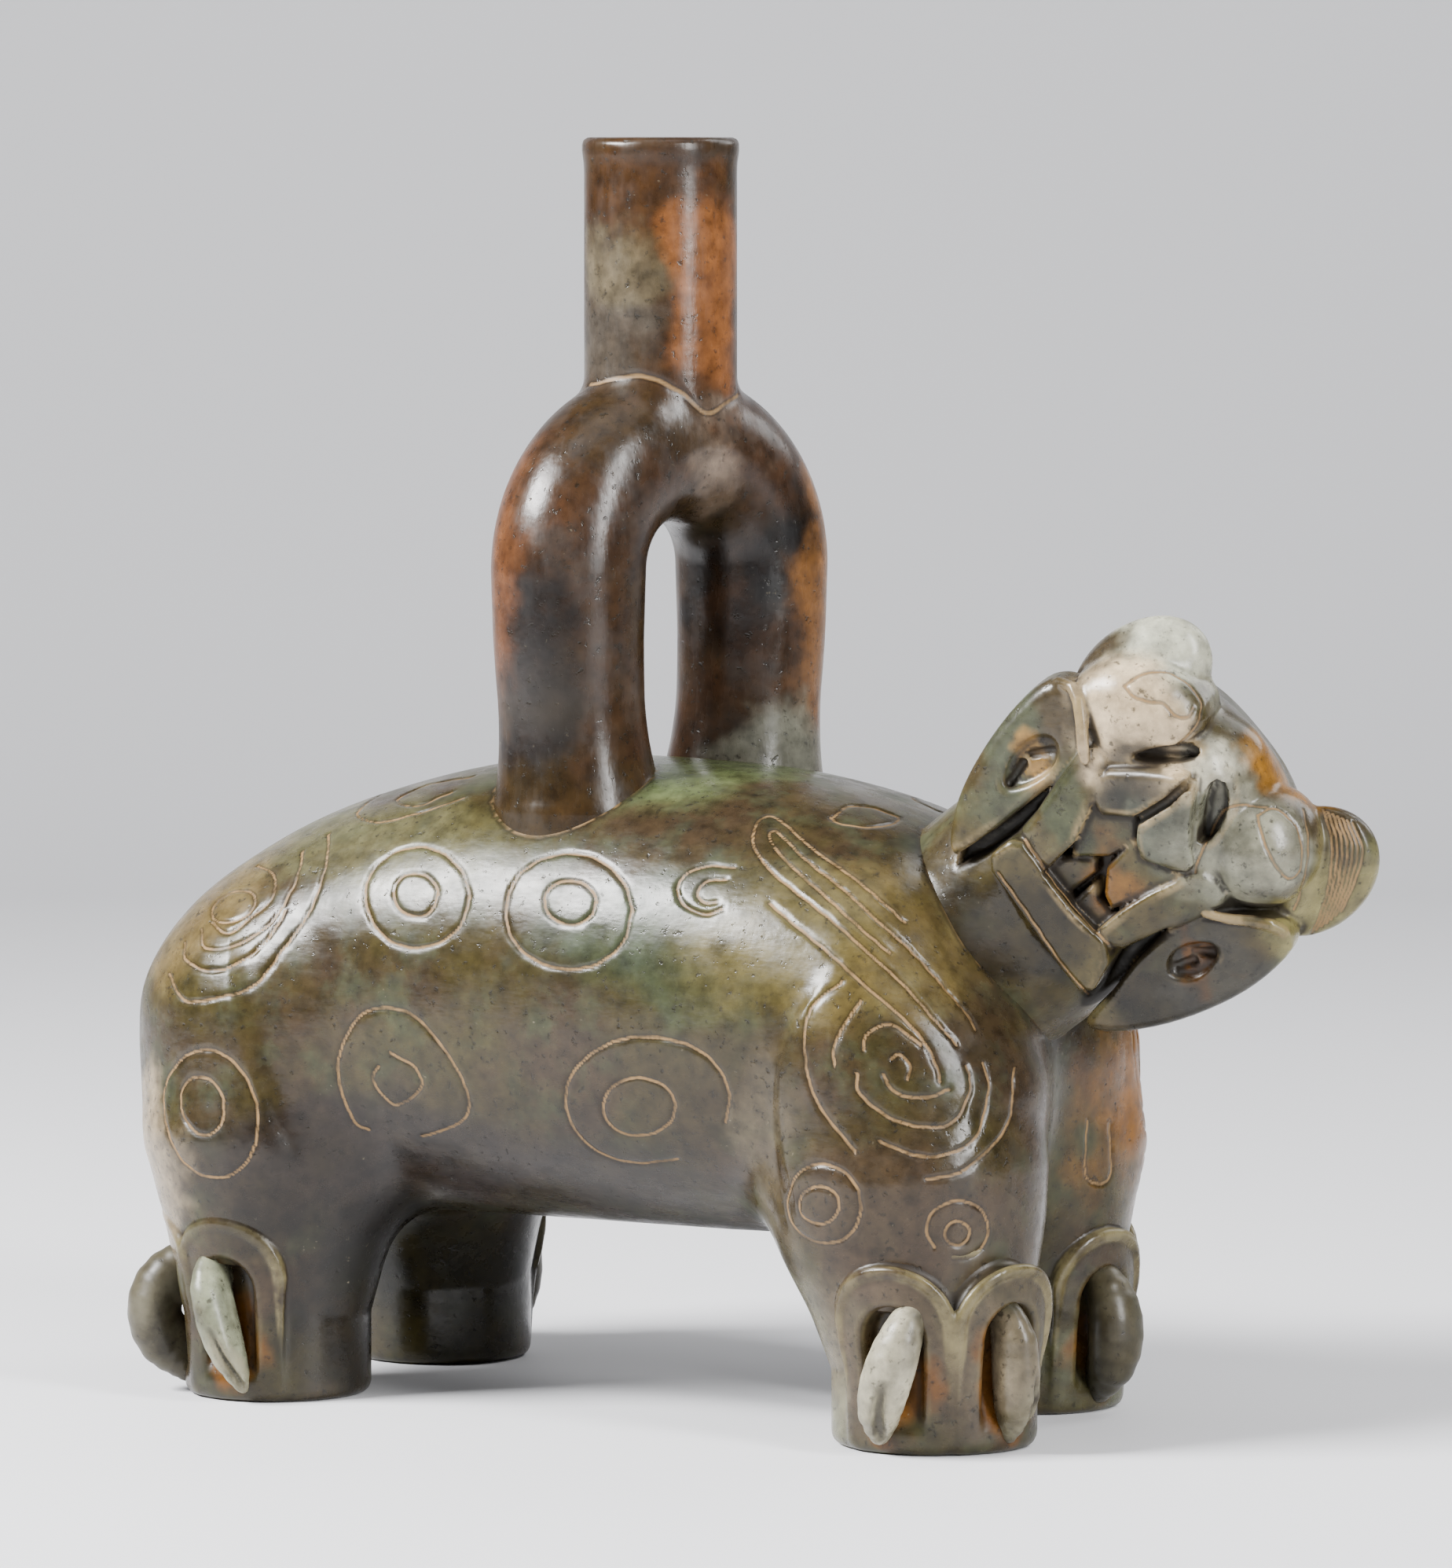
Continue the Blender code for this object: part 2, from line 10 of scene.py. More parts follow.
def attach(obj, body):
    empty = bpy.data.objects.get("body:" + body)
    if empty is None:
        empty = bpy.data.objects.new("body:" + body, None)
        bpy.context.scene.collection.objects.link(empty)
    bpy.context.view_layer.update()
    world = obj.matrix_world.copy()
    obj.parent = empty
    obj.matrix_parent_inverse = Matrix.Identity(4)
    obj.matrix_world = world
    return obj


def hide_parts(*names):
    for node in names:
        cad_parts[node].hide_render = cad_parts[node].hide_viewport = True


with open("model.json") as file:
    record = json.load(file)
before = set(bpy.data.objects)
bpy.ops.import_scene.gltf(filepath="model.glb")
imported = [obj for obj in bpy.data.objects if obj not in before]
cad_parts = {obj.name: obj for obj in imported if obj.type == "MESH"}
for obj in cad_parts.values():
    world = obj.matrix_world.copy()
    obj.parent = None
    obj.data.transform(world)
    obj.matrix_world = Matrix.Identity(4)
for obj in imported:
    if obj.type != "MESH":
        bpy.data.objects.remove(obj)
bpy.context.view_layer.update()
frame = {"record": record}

# The stage: a pale floor, soft studio light and the camera
# The vessel is photographed from its right flank, 30 degrees round towards the head, through a
# long lens that is level with the rim. Sizes in millimetres are turned to metres by MM.
MM = 0.001
REAR_FOOT = (-70.0, -29.5)
mounts = {mount["name"]: mount["pos_m"] for mount in frame["record"]["mounts"]}
LEGS_MIDDLE = Vector((mounts["foot_rear_right"][0], mounts["foot_rear_right"][1], 0.0))
LEGS_MIDDLE -= Vector((REAR_FOOT[0] * MM, REAR_FOOT[1] * MM, 0.0))
VIEW_TURN = math.radians(30.0)
VIEW_DISTANCE = 1.700
VIEW_HEIGHT = 0.2445
AIM_HEIGHT = 0.1174
AIM_RIGHT = 0.0103
LENS = 206.1

view_right = Vector((math.cos(VIEW_TURN), math.sin(VIEW_TURN), 0.0))
view_back = Vector((math.sin(VIEW_TURN), -math.cos(VIEW_TURN), 0.0))
aim = LEGS_MIDDLE + view_right * AIM_RIGHT + Vector((0.0, 0.0, AIM_HEIGHT))
camera = bpy.data.objects.new("camera", bpy.data.cameras.new("camera"))
camera.location = aim + view_back * VIEW_DISTANCE
camera.location.z = VIEW_HEIGHT
camera.rotation_euler = (aim - camera.location).to_track_quat("-Z", "Y").to_euler()
camera.data.sensor_fit = "VERTICAL"
camera.data.sensor_height = 36.0
camera.data.lens = LENS
bpy.context.scene.collection.objects.link(camera)
bpy.context.scene.camera = camera


def colour(code):
    """A linear colour from an sRGB hex code."""
    channels = []
    for start in (0, 2, 4):
        value = int(code[start:start + 2], 16) / 255.0
        channels.append(value / 12.92 if value <= 0.04045 else ((value + 0.055) / 1.055) ** 2.4)
    return (channels[0], channels[1], channels[2], 1.0)


def add_node(tree, kind, settings=None, inputs=None):
    """A shader node with its settings and its inputs: a value, or an output of another node."""
    node = tree.nodes.new(kind)
    for name, value in (settings or {}).items():
        setattr(node, name, value)
    for name, value in (inputs or {}).items():
        if isinstance(value, bpy.types.NodeSocket):
            tree.links.new(value, node.inputs[name])
        else:
            node.inputs[name].default_value = value
    return node


def new_material(name):
    """An empty node material with its output; returns the material, its tree and its shader."""
    material = bpy.data.materials.new(name)
    material.use_nodes = True
    tree = material.node_tree
    return material, tree, tree.nodes["Principled BSDF"]


floor_paint, floor_tree, floor_shader = new_material("pale_matt_floor_paint")
floor_shader.inputs["Base Color"].default_value = colour("D6D6D9")
floor_shader.inputs["Roughness"].default_value = 0.6
FLOOR_HALF = 3.0
FLOOR_RISE = 1.6
bend = [(-FLOOR_HALF, 0.0)]
for step in range(13):
    angle = math.radians(90.0 * step / 12)
    bend.append((1.1 + 0.6 * math.sin(angle), 0.6 * (1.0 - math.cos(angle))))
bend.append((1.7, FLOOR_RISE))
sheet = bmesh.new()
edge_pairs = []
for depth, height in bend:
    spot = LEGS_MIDDLE - view_back * depth
    left = sheet.verts.new(spot - view_right * FLOOR_HALF + Vector((0.0, 0.0, height)))
    right = sheet.verts.new(spot + view_right * FLOOR_HALF + Vector((0.0, 0.0, height)))
    edge_pairs.append((left, right))
for (left, right), (next_left, next_right) in zip(edge_pairs, edge_pairs[1:]):
    sheet.faces.new((left, right, next_right, next_left))
floor_mesh = bpy.data.meshes.new("floor")
sheet.to_mesh(floor_mesh)
sheet.free()
floor_mesh.shade_smooth()
floor_mesh.materials.append(floor_paint)
floor = bpy.data.objects.new("floor", floor_mesh)
bpy.context.scene.collection.objects.link(floor)

world = bpy.data.worlds.new("studio")
bpy.context.scene.world = world
world.use_nodes = True
world.node_tree.nodes["Background"].inputs["Color"].default_value = colour("9FA3A8")
world.node_tree.nodes["Background"].inputs["Strength"].default_value = 0.25

# Each soft box: turn from the camera, height angle, distance, width, height, watts
SOFT_BOXES = (
    ("key", -72.0, 38.0, 1.15, 0.50, 0.36, 58.0),
    ("overhead", 10.0, 80.0, 1.30, 1.00, 0.70, 4.0),
    ("strip", 44.0, 24.0, 1.20, 0.22, 0.85, 25.0),
    ("rim", 122.0, 38.0, 1.30, 0.50, 0.90, 8.0),
)
for name, turn, rise, distance, wide, high, watts in SOFT_BOXES:
    lamp = bpy.data.lights.new(name, "AREA")
    lamp.shape = "RECTANGLE"
    lamp.size = wide
    lamp.size_y = high
    lamp.energy = watts
    box = bpy.data.objects.new(name, lamp)
    angle = VIEW_TURN + math.radians(turn)
    level = math.radians(rise)
    out = Vector((math.sin(angle) * math.cos(level), -math.cos(angle) * math.cos(level), math.sin(level)))
    centre = LEGS_MIDDLE + Vector((0.0, 0.0, 0.1))
    box.location = centre + out * distance
    box.rotation_euler = (-out).to_track_quat("-Z", "Y").to_euler()
    bpy.context.scene.collection.objects.link(box)

# The body: barrel, four legs and paws, thrown and pressed as one hollow form
# Fired clay. The skin is worked out as a distance field, which is under zero inside the clay, so
# that barrel, haunches and legs run together as soft clay does, and is then meshed.
BODY_REAR = -108.0
BODY_FRONT = 81.0
HALF_WIDTH = 47.0
SQUARENESS = 2.3
REAR_ROUND = 50.0
FRONT_ROUND = 24.0
# Stations along the body: place, middle height, half-height
STATIONS = (
    (-109.0, 70.5, 32.5),
    (-97.0, 69.0, 34.5),
    (-85.0, 69.6, 36.5),
    (-67.0, 72.7, 39.1),
    (-48.0, 76.0, 42.0),
    (-26.0, 78.2, 44.2),
    (1.0, 78.2, 44.2),
    (25.0, 77.6, 43.6),
    (47.0, 75.8, 41.0),
    (64.0, 72.5, 37.5),
    (77.0, 71.0, 33.5),
    (88.0, 72.0, 32.0),
)
BARREL_BLEND = 9.0
# Each leg: place, foot radius, radius above the cuffs, height of the swelling at the top, and how
# far the leg leans to the rear above the cuffs
LEGS = {
    "rear_right": (-70.0, -29.5, 17.6, 24.6, 72.0, 0.0),
    "rear_left": (-70.0, 29.5, 17.6, 24.6, 72.0, 0.0),
    "front_right": (71.0, -25.5, 19.0, 25.0, 63.0, 7.0),
    "front_left": (61.0, 28.0, 19.0, 25.4, 66.0, 4.0),
}
LEG_LEAN = 4.0


def blend(first, second, softness):
    """Joins two fields with a soft fillet."""
    share = np.clip(0.5 + 0.5 * (second - first) / softness, 0.0, 1.0)
    return second * (1.0 - share) + first * share - softness * share * (1.0 - share)


def carve(field, cutter, softness):
    """Cuts one field out of another with a soft edge."""
    return -blend(-field, cutter, softness)


def true_distance(raw, points, step=0.05):
    """Turns a raw level function into a near-distance by dividing it by its slope."""
    value = raw(points)
    slope = np.zeros_like(value)
    for axis in range(3):
        shift = np.zeros(3)
        shift[axis] = step
        slope += ((raw(points + shift) - value) / step) ** 2
    return value / np.sqrt(np.maximum(slope, 1e-6))


def smooth_stations(stations, soft=7.0):
    """Stations along a line made into smooth tables, one for each column."""
    places = np.arange(stations[0][0] - 30.0, stations[-1][0] + 30.0, 0.5)
    weights = np.exp(-0.5 * (np.arange(-60, 61) * 0.5 / soft) ** 2)
    weights /= weights.sum()
    tables = [places]
    xs = [row[0] for row in stations]
    for column in range(1, len(stations[0])):
        plain = np.interp(places, xs, [row[column] for row in stations])
        tables.append(np.convolve(np.pad(plain, 60, mode="edge"), weights, mode="valid"))
    return tables


barrel_tables = smooth_stations(STATIONS)


def barrel_raw(points):
    """Level function of the barrel, zero on its skin."""
    x, y, z = points[:, 0], points[:, 1], points[:, 2]
    middle = np.interp(x, barrel_tables[0], barrel_tables[1])
    half = np.interp(x, barrel_tables[0], barrel_tables[2])
    rear = np.maximum(0.0, (BODY_REAR + REAR_ROUND - x) / REAR_ROUND)
    front = np.maximum(0.0, (x - BODY_FRONT + FRONT_ROUND) / FRONT_ROUND)
    total = np.abs(y / HALF_WIDTH) ** SQUARENESS + np.abs((z - middle) / half) ** SQUARENESS
    total += rear ** SQUARENESS + front ** SQUARENESS
    return (total ** (1.0 / SQUARENESS) - 1.0) * 40.0


def leg_field(leg, points):
    """One leg: a round foot that flares above the cuffs into a haunch or a shoulder."""
    x, y, foot, upper, top, flare = LEGS[leg]
    lean = math.copysign(LEG_LEAN, y)
    shank = roll(points, (x, y, -20.0), (x, y, 16.0), foot, foot)
    knee = roll(points, (x, y, 16.0), (x - flare, y - 0.5 * lean, 46.0), foot, upper)
    haunch = roll(points, (x - flare, y - 0.5 * lean, 46.0), (x - flare, y - lean, top), upper, upper)
    return blend(np.minimum(shank, knee), haunch, 5.0)


def roll(points, start, end, start_radius, end_radius):
    """A round roll of clay between two points."""
    start = np.asarray(start, dtype=float)
    along = np.asarray(end, dtype=float) - start
    share = np.clip(((points - start) @ along) / max(along @ along, 1e-9), 0.0, 1.0)
    near = points - start - share[:, None] * along
    return np.sqrt((near * near).sum(axis=1)) - (start_radius + share * (end_radius - start_radius))


def chain(points, places, radii):
    """Rolls joined end to end."""
    field = None
    for start, end, first, second in zip(places, places[1:], radii, radii[1:]):
        piece = roll(points, start, end, first, second)
        field = piece if field is None else np.minimum(field, piece)
    return field


# Each claw: turn round the leg in degrees, furthest reach, side lean from top to bottom, width
CLAWS = {
    "rear_right": ((-90.0, 25.6, 5.5, 6.2), (-150.0, 29.2, 0.0, 9.5)),
    "front_right": ((-84.0, 27.6, -5.0, 8.2), (-18.0, 26.6, 1.0, 6.6)),
    "rear_left": ((76.0, 26.0, 0.0, 8.0), (135.0, 27.6, 0.0, 8.5)),
    "front_left": ((-14.0, 28.4, 0.0, 9.0), (72.0, 26.6, 0.0, 8.0)),
}


def proud_limbs(points):
    """How far shoulders and thighs stand out from the flanks, with a soft step along their edges."""
    x, y, z = points[:, 0], np.abs(points[:, 1]), points[:, 2]
    shoulder = np.clip((x - 48.0 - 0.012 * (z - 62.0) ** 2) / 4.0, 0.0, 1.0)
    thigh = np.clip((-56.0 - 0.30 * (z - 56.0) - x) / 4.0, 0.0, 1.0)
    shoulder *= np.clip((z - 38.0) / 14.0, 0.0, 1.0) * np.clip((94.0 - z) / 16.0, 0.0, 1.0)
    thigh *= np.clip((z - 40.0) / 12.0, 0.0, 1.0) * np.clip((98.0 - z) / 24.0, 0.0, 1.0)
    sideways = np.clip((y - 28.0) / 10.0, 0.0, 1.0)
    step = np.maximum(shoulder, thigh)
    return 1.5 * sideways * step * step * (3.0 - 2.0 * step)


def bare_body(points):
    """Barrel and legs run together, without paws."""
    field = true_distance(barrel_raw, points)
    low = points[:, 2] < 108.0
    for leg in LEGS:
        x, y = LEGS[leg][:2]
        near = low & (np.hypot(points[:, 0] - x, points[:, 1] - y) < 62.0)
        if near.any():
            field[near] = blend(field[near], leg_field(leg, points[near]), BARREL_BLEND)
    return field - proud_limbs(points)


SEAM_HEIGHT = 30.0


def body_field(points):
    """The body skin; each leg draws in a little below the cuffs, where the paw covers it."""
    under = np.maximum(SEAM_HEIGHT - points[:, 2], 0.0)
    return np.maximum(bare_body(points) + 0.02 * under, SEAM_HEIGHT - 4.0 - points[:, 2])


def skin(field, low, high, step):
    """Meshes the zero level of a field inside a box: vertices and quads, faces outwards."""
    low = np.asarray(low, dtype=float)
    counts = np.ceil((np.asarray(high) - low) / (4.0 * step)).astype(int)
    blocks = np.stack(np.meshgrid(*[np.arange(n) for n in counts], indexing="ij"), -1).reshape(-1, 3)
    rough = field(low + (blocks * 4 + 1.5) * step)
    values = rough.reshape(counts)
    for axis in range(3):
        values = values.repeat(4, axis)
    near = blocks[np.abs(rough) < 5.2 * step]
    offsets = np.stack(np.meshgrid(*[np.arange(4)] * 3, indexing="ij"), -1).reshape(-1, 3)
    cells = (near[:, None, :] * 4 + offsets[None]).reshape(-1, 3)
    values[cells[:, 0], cells[:, 1], cells[:, 2]] = field(low + cells * step)
    inside = values < 0.0
    total = np.zeros(np.array(values.shape) - 1, dtype=int)
    corners = np.stack(np.meshgrid(*[np.arange(2)] * 3, indexing="ij"), -1).reshape(-1, 3)
    size = np.array(total.shape)
    for corner in corners:
        end = corner + size
        total += inside[corner[0]:end[0], corner[1]:end[1], corner[2]:end[2]]
    mixed = (total > 0) & (total < 8)
    spots = np.argwhere(mixed)
    number = -np.ones(total.shape, dtype=int)
    number[mixed] = np.arange(len(spots))
    sums = np.zeros((len(spots), 3))
    hits = np.zeros(len(spots))
    for axis in range(3):
        unit = np.zeros(3, dtype=int)
        unit[axis] = 1
        for corner in corners[corners[:, axis] == 0]:
            start = spots + corner
            first = values[start[:, 0], start[:, 1], start[:, 2]]
            end = start + unit
            second = values[end[:, 0], end[:, 1], end[:, 2]]
            cross = (first < 0.0) != (second < 0.0)
            share = np.where(cross, first / np.where(cross, first - second, 1.0), 0.0)
            sums += (start + share[:, None] * unit) * cross[:, None]
            hits += cross
    verts = low + sums / hits[:, None] * step
    quads = []
    for axis in range(3):
        side, up = (axis + 1) % 3, (axis + 2) % 3
        unit = np.zeros(3, dtype=int)
        unit[axis] = 1
        starts = np.argwhere(inside)
        for flip in (False, True):
            ends = starts + unit if not flip else starts - unit
            valid = ((ends >= 0) & (ends < values.shape)).all(axis=1)
            begin, end = starts[valid], ends[valid]
            outside = ~inside[end[:, 0], end[:, 1], end[:, 2]]
            base = np.minimum(begin[outside], end[outside])
            ring = []
            for a, b in ((-1, -1), (0, -1), (0, 0), (-1, 0)):
                spot = base.copy()
                spot[:, side] += a
                spot[:, up] += b
                ring.append(number[spot[:, 0], spot[:, 1], spot[:, 2]])
            ring = np.stack(ring, axis=1)
            quads.append(ring[:, ::-1] if flip else ring)
    return verts, np.concatenate(quads)


def slope_of(field, points, step=0.08):
    """Unit slope of a field and its value."""
    value = field(points)
    slope = np.zeros_like(points)
    for axis in range(3):
        shift = np.zeros(3)
        shift[axis] = step
        slope[:, axis] = (field(points + shift) - value) / step
    size = np.sqrt((slope ** 2).sum(axis=1))
    return slope / np.maximum(size, 1e-6)[:, None], value / np.maximum(size, 0.3)


def settle(field, points, rounds=2):
    """Moves points onto the zero level of a field."""
    for _ in range(rounds):
        slope, away = slope_of(field, points)
        points = points - slope * np.clip(away, -1.0, 1.0)[:, None]
    return points


def mesh_arrays(verts, quads, name):
    """A mesh from arrays of millimetre points and quads."""
    mesh = bpy.data.meshes.new(name)
    mesh.from_pydata([tuple(row) for row in verts.tolist()], [], quads.tolist())
    mesh.validate()
    return mesh


def points_of(mesh):
    """A mesh's vertices as an array."""
    flat = np.empty(len(mesh.vertices) * 3)
    mesh.vertices.foreach_get("co", flat)
    return flat.reshape(-1, 3)


def paint(mesh, name, values):
    """Stores one number a vertex for the materials to read."""
    layer = mesh.attributes.new(name, "FLOAT", "POINT")
    layer.data.foreach_set("value", np.ascontiguousarray(values, dtype=np.float32))


def run_through(places, gap=0.3):
    """A smooth curve through a few places, as closely spaced points."""
    rows = np.array([places[0]] + list(places) + [places[-1]], dtype=float)
    curve = []
    for i in range(1, len(rows) - 2):
        before, start, end, after = rows[i - 1:i + 3]
        count = max(2, int(np.linalg.norm(end - start) / gap))
        t = np.linspace(0.0, 1.0, count, endpoint=False)[:, None]
        part = 2.0 * start + (end - before) * t
        part += (2.0 * before - 5.0 * start + 4.0 * end - after) * t ** 2
        part += (3.0 * start - before - 3.0 * end + after) * t ** 3
        curve.append(0.5 * part)
    return np.concatenate(curve + [rows[-1:]])


def ring(centre, half_width, half_height, lean=0.0, start=0.0, end=360.0):
    """Places on an oval ring or on part of one, in the drawing plane."""
    places = []
    swing = math.radians(lean)
    for step in range(13):
        turn = math.radians(start + (end - start) * step / 12)
        across = half_width * math.cos(turn)
        along = half_height * math.sin(turn)
        places.append((
            centre[0] + across * math.cos(swing) - along * math.sin(swing),
            centre[1] + across * math.sin(swing) + along * math.cos(swing),
        ))
    return places


# The drawing plane is upright before the camera: millimetres right of and above the aim point.
# A line drawn there is carried along the line of sight on to the clay.
eye_mm = (np.array(camera.location) - np.array(LEGS_MIDDLE)) / MM
aim_mm = (np.array(aim) - np.array(LEGS_MIDDLE)) / MM
sight = (aim_mm - eye_mm) / np.linalg.norm(aim_mm - eye_mm)
sight_right = np.cross(sight, (0.0, 0.0, 1.0))
sight_right /= np.linalg.norm(sight_right)
sight_up = np.cross(sight_right, sight)


def on_clay(field, places):
    """Carries a drawn line on to the clay."""
    drawn = run_through(places)
    step = np.arange(len(drawn))
    drawn[:, 0] += 0.05 * np.sin(0.47 * step) + 0.10 * np.sin(0.12 * step + 1.0)
    drawn[:, 1] += 0.05 * np.sin(0.41 * step + 2.0) + 0.10 * np.sin(0.10 * step + 4.0)
    ends = aim_mm + drawn[:, :1] * sight_right + drawn[:, 1:] * sight_up
    ways = ends - eye_mm
    ways /= np.linalg.norm(ways, axis=1)[:, None]
    spots = eye_mm + ways * 1530.0
    for _ in range(70):
        spots = spots + ways * np.clip(field(spots) * 0.8, -2.0, 25.0)[:, None]
    return spots[np.abs(field(spots)) < 0.15]


def mirrored(field, spots):
    """The same line on the other flank."""
    return settle(field, spots * np.array((1.0, -1.0, 1.0)), 4)


def distance_to(points, spots, reach):
    """Distance of each point to the nearest line spot, up to a reach."""
    tree = KDTree(len(spots))
    for i, spot in enumerate(spots.tolist()):
        tree.insert(spot, i)
    tree.balance()
    low = spots.min(axis=0) - reach
    high = spots.max(axis=0) + reach
    away = np.full(len(points), float(reach))
    for i in np.flatnonzero(((points > low) & (points < high)).all(axis=1)):
        away[i] = min(reach, tree.find(points[i])[2])
    return away


def refine(mesh, away, reach, cuts, field):
    """Cuts the mesh finer within a reach of the lines and settles it on the clay again."""
    work = bmesh.new()
    work.from_mesh(mesh)
    work.verts.ensure_lookup_table()
    edges = [edge for edge in work.edges if min(away[edge.verts[0].index], away[edge.verts[1].index]) < reach]
    bmesh.ops.subdivide_edges(work, edges=edges, cuts=cuts, use_grid_fill=True)
    bmesh.ops.triangulate(work, faces=[face for face in work.faces if len(face.verts) > 4])
    work.to_mesh(mesh)
    work.free()
    points = settle(field, points_of(mesh), 1)
    mesh.vertices.foreach_set("co", points.ravel())
    return points


def incise(mesh, field, spots, cuts, width=0.5, depth=0.38):
    """Cuts drawn lines into a mesh and returns where they lie."""
    points = points_of(mesh)
    away = distance_to(points, spots, 4.0)
    points = refine(mesh, away, 1.5, cuts, field)
    away = distance_to(points, spots, 4.0)
    slope, value = slope_of(field, points)
    pressure = depth * (0.8 + 0.2 * np.sin(points @ np.array((0.5, 0.3, 0.7))))
    points = points - slope * (pressure * np.exp(-(away / width) ** 2))[:, None]
    mesh.vertices.foreach_set("co", points.ravel())
    return np.exp(-(away / (0.75 * width)) ** 2)


def finish_piece(mesh, name, field, material):
    """Stores a crease mask for painted shade in the hollows and an edge mask for rubbed edges with a painted highlight,
    then puts the piece in its place in metres.
    """
    points = points_of(mesh)
    slope, away = slope_of(field, points)
    reach = 2.2
    # The crease mask measures how closed in each spot is; the materials turn it into painted shade.
    crease = 1.0 - field(points + slope * reach) / reach
    edge = 1.0 + field(points - slope * reach) / reach
    paint(mesh, "crease", np.clip(crease, 0.0, 1.0))
    paint(mesh, "edge", np.clip(edge, 0.0, 1.0))
    placed = points * MM + np.array(LEGS_MIDDLE)
    mesh.vertices.foreach_set("co", placed.ravel())
    mesh.update()
    mesh.shade_smooth()
    mesh.materials.append(material)
    piece = bpy.data.objects.new(name, mesh)
    bpy.context.scene.collection.objects.link(piece)
    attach(piece, "root")
    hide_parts("vessel")
    return piece


def combine(tree, kind, first, second, third=None):
    """A maths node on sockets or numbers."""
    node = tree.nodes.new("ShaderNodeMath")
    node.operation = kind
    for index, value in enumerate((first, second, third)):
        if value is None:
            continue
        if isinstance(value, bpy.types.NodeSocket):
            tree.links.new(value, node.inputs[index])
        else:
            node.inputs[index].default_value = value
    return node.outputs[0]


def mix_colour(tree, share, first, second):
    """A colour between two colours."""
    node = tree.nodes.new("ShaderNodeMix")
    node.data_type = "RGBA"
    for index, value in ((0, share), (6, first), (7, second)):
        if isinstance(value, bpy.types.NodeSocket):
            tree.links.new(value, node.inputs[index])
        elif isinstance(value, str):
            node.inputs[index].default_value = colour(value)
        else:
            node.inputs[index].default_value = value
    return node.outputs[2]


def ramp(tree, value, low, high):
    """A value stretched from 0 at low to 1 at high, with soft ends."""
    node = add_node(tree, "ShaderNodeMapRange", {"interpolation_type": "SMOOTHSTEP"},
                    {"From Min": low, "From Max": high})
    tree.links.new(value, node.inputs["Value"])
    return node.outputs["Result"]


def noise(tree, place, size, detail, seed=0.0):
    """Noise with a grain of a given size in millimetres."""
    node = add_node(tree, "ShaderNodeTexNoise", {"noise_dimensions": "4D"},
                    {"Vector": place, "W": seed, "Scale": 1.0 / size, "Detail": detail, "Roughness": 0.6})
    return node.outputs["Fac"]


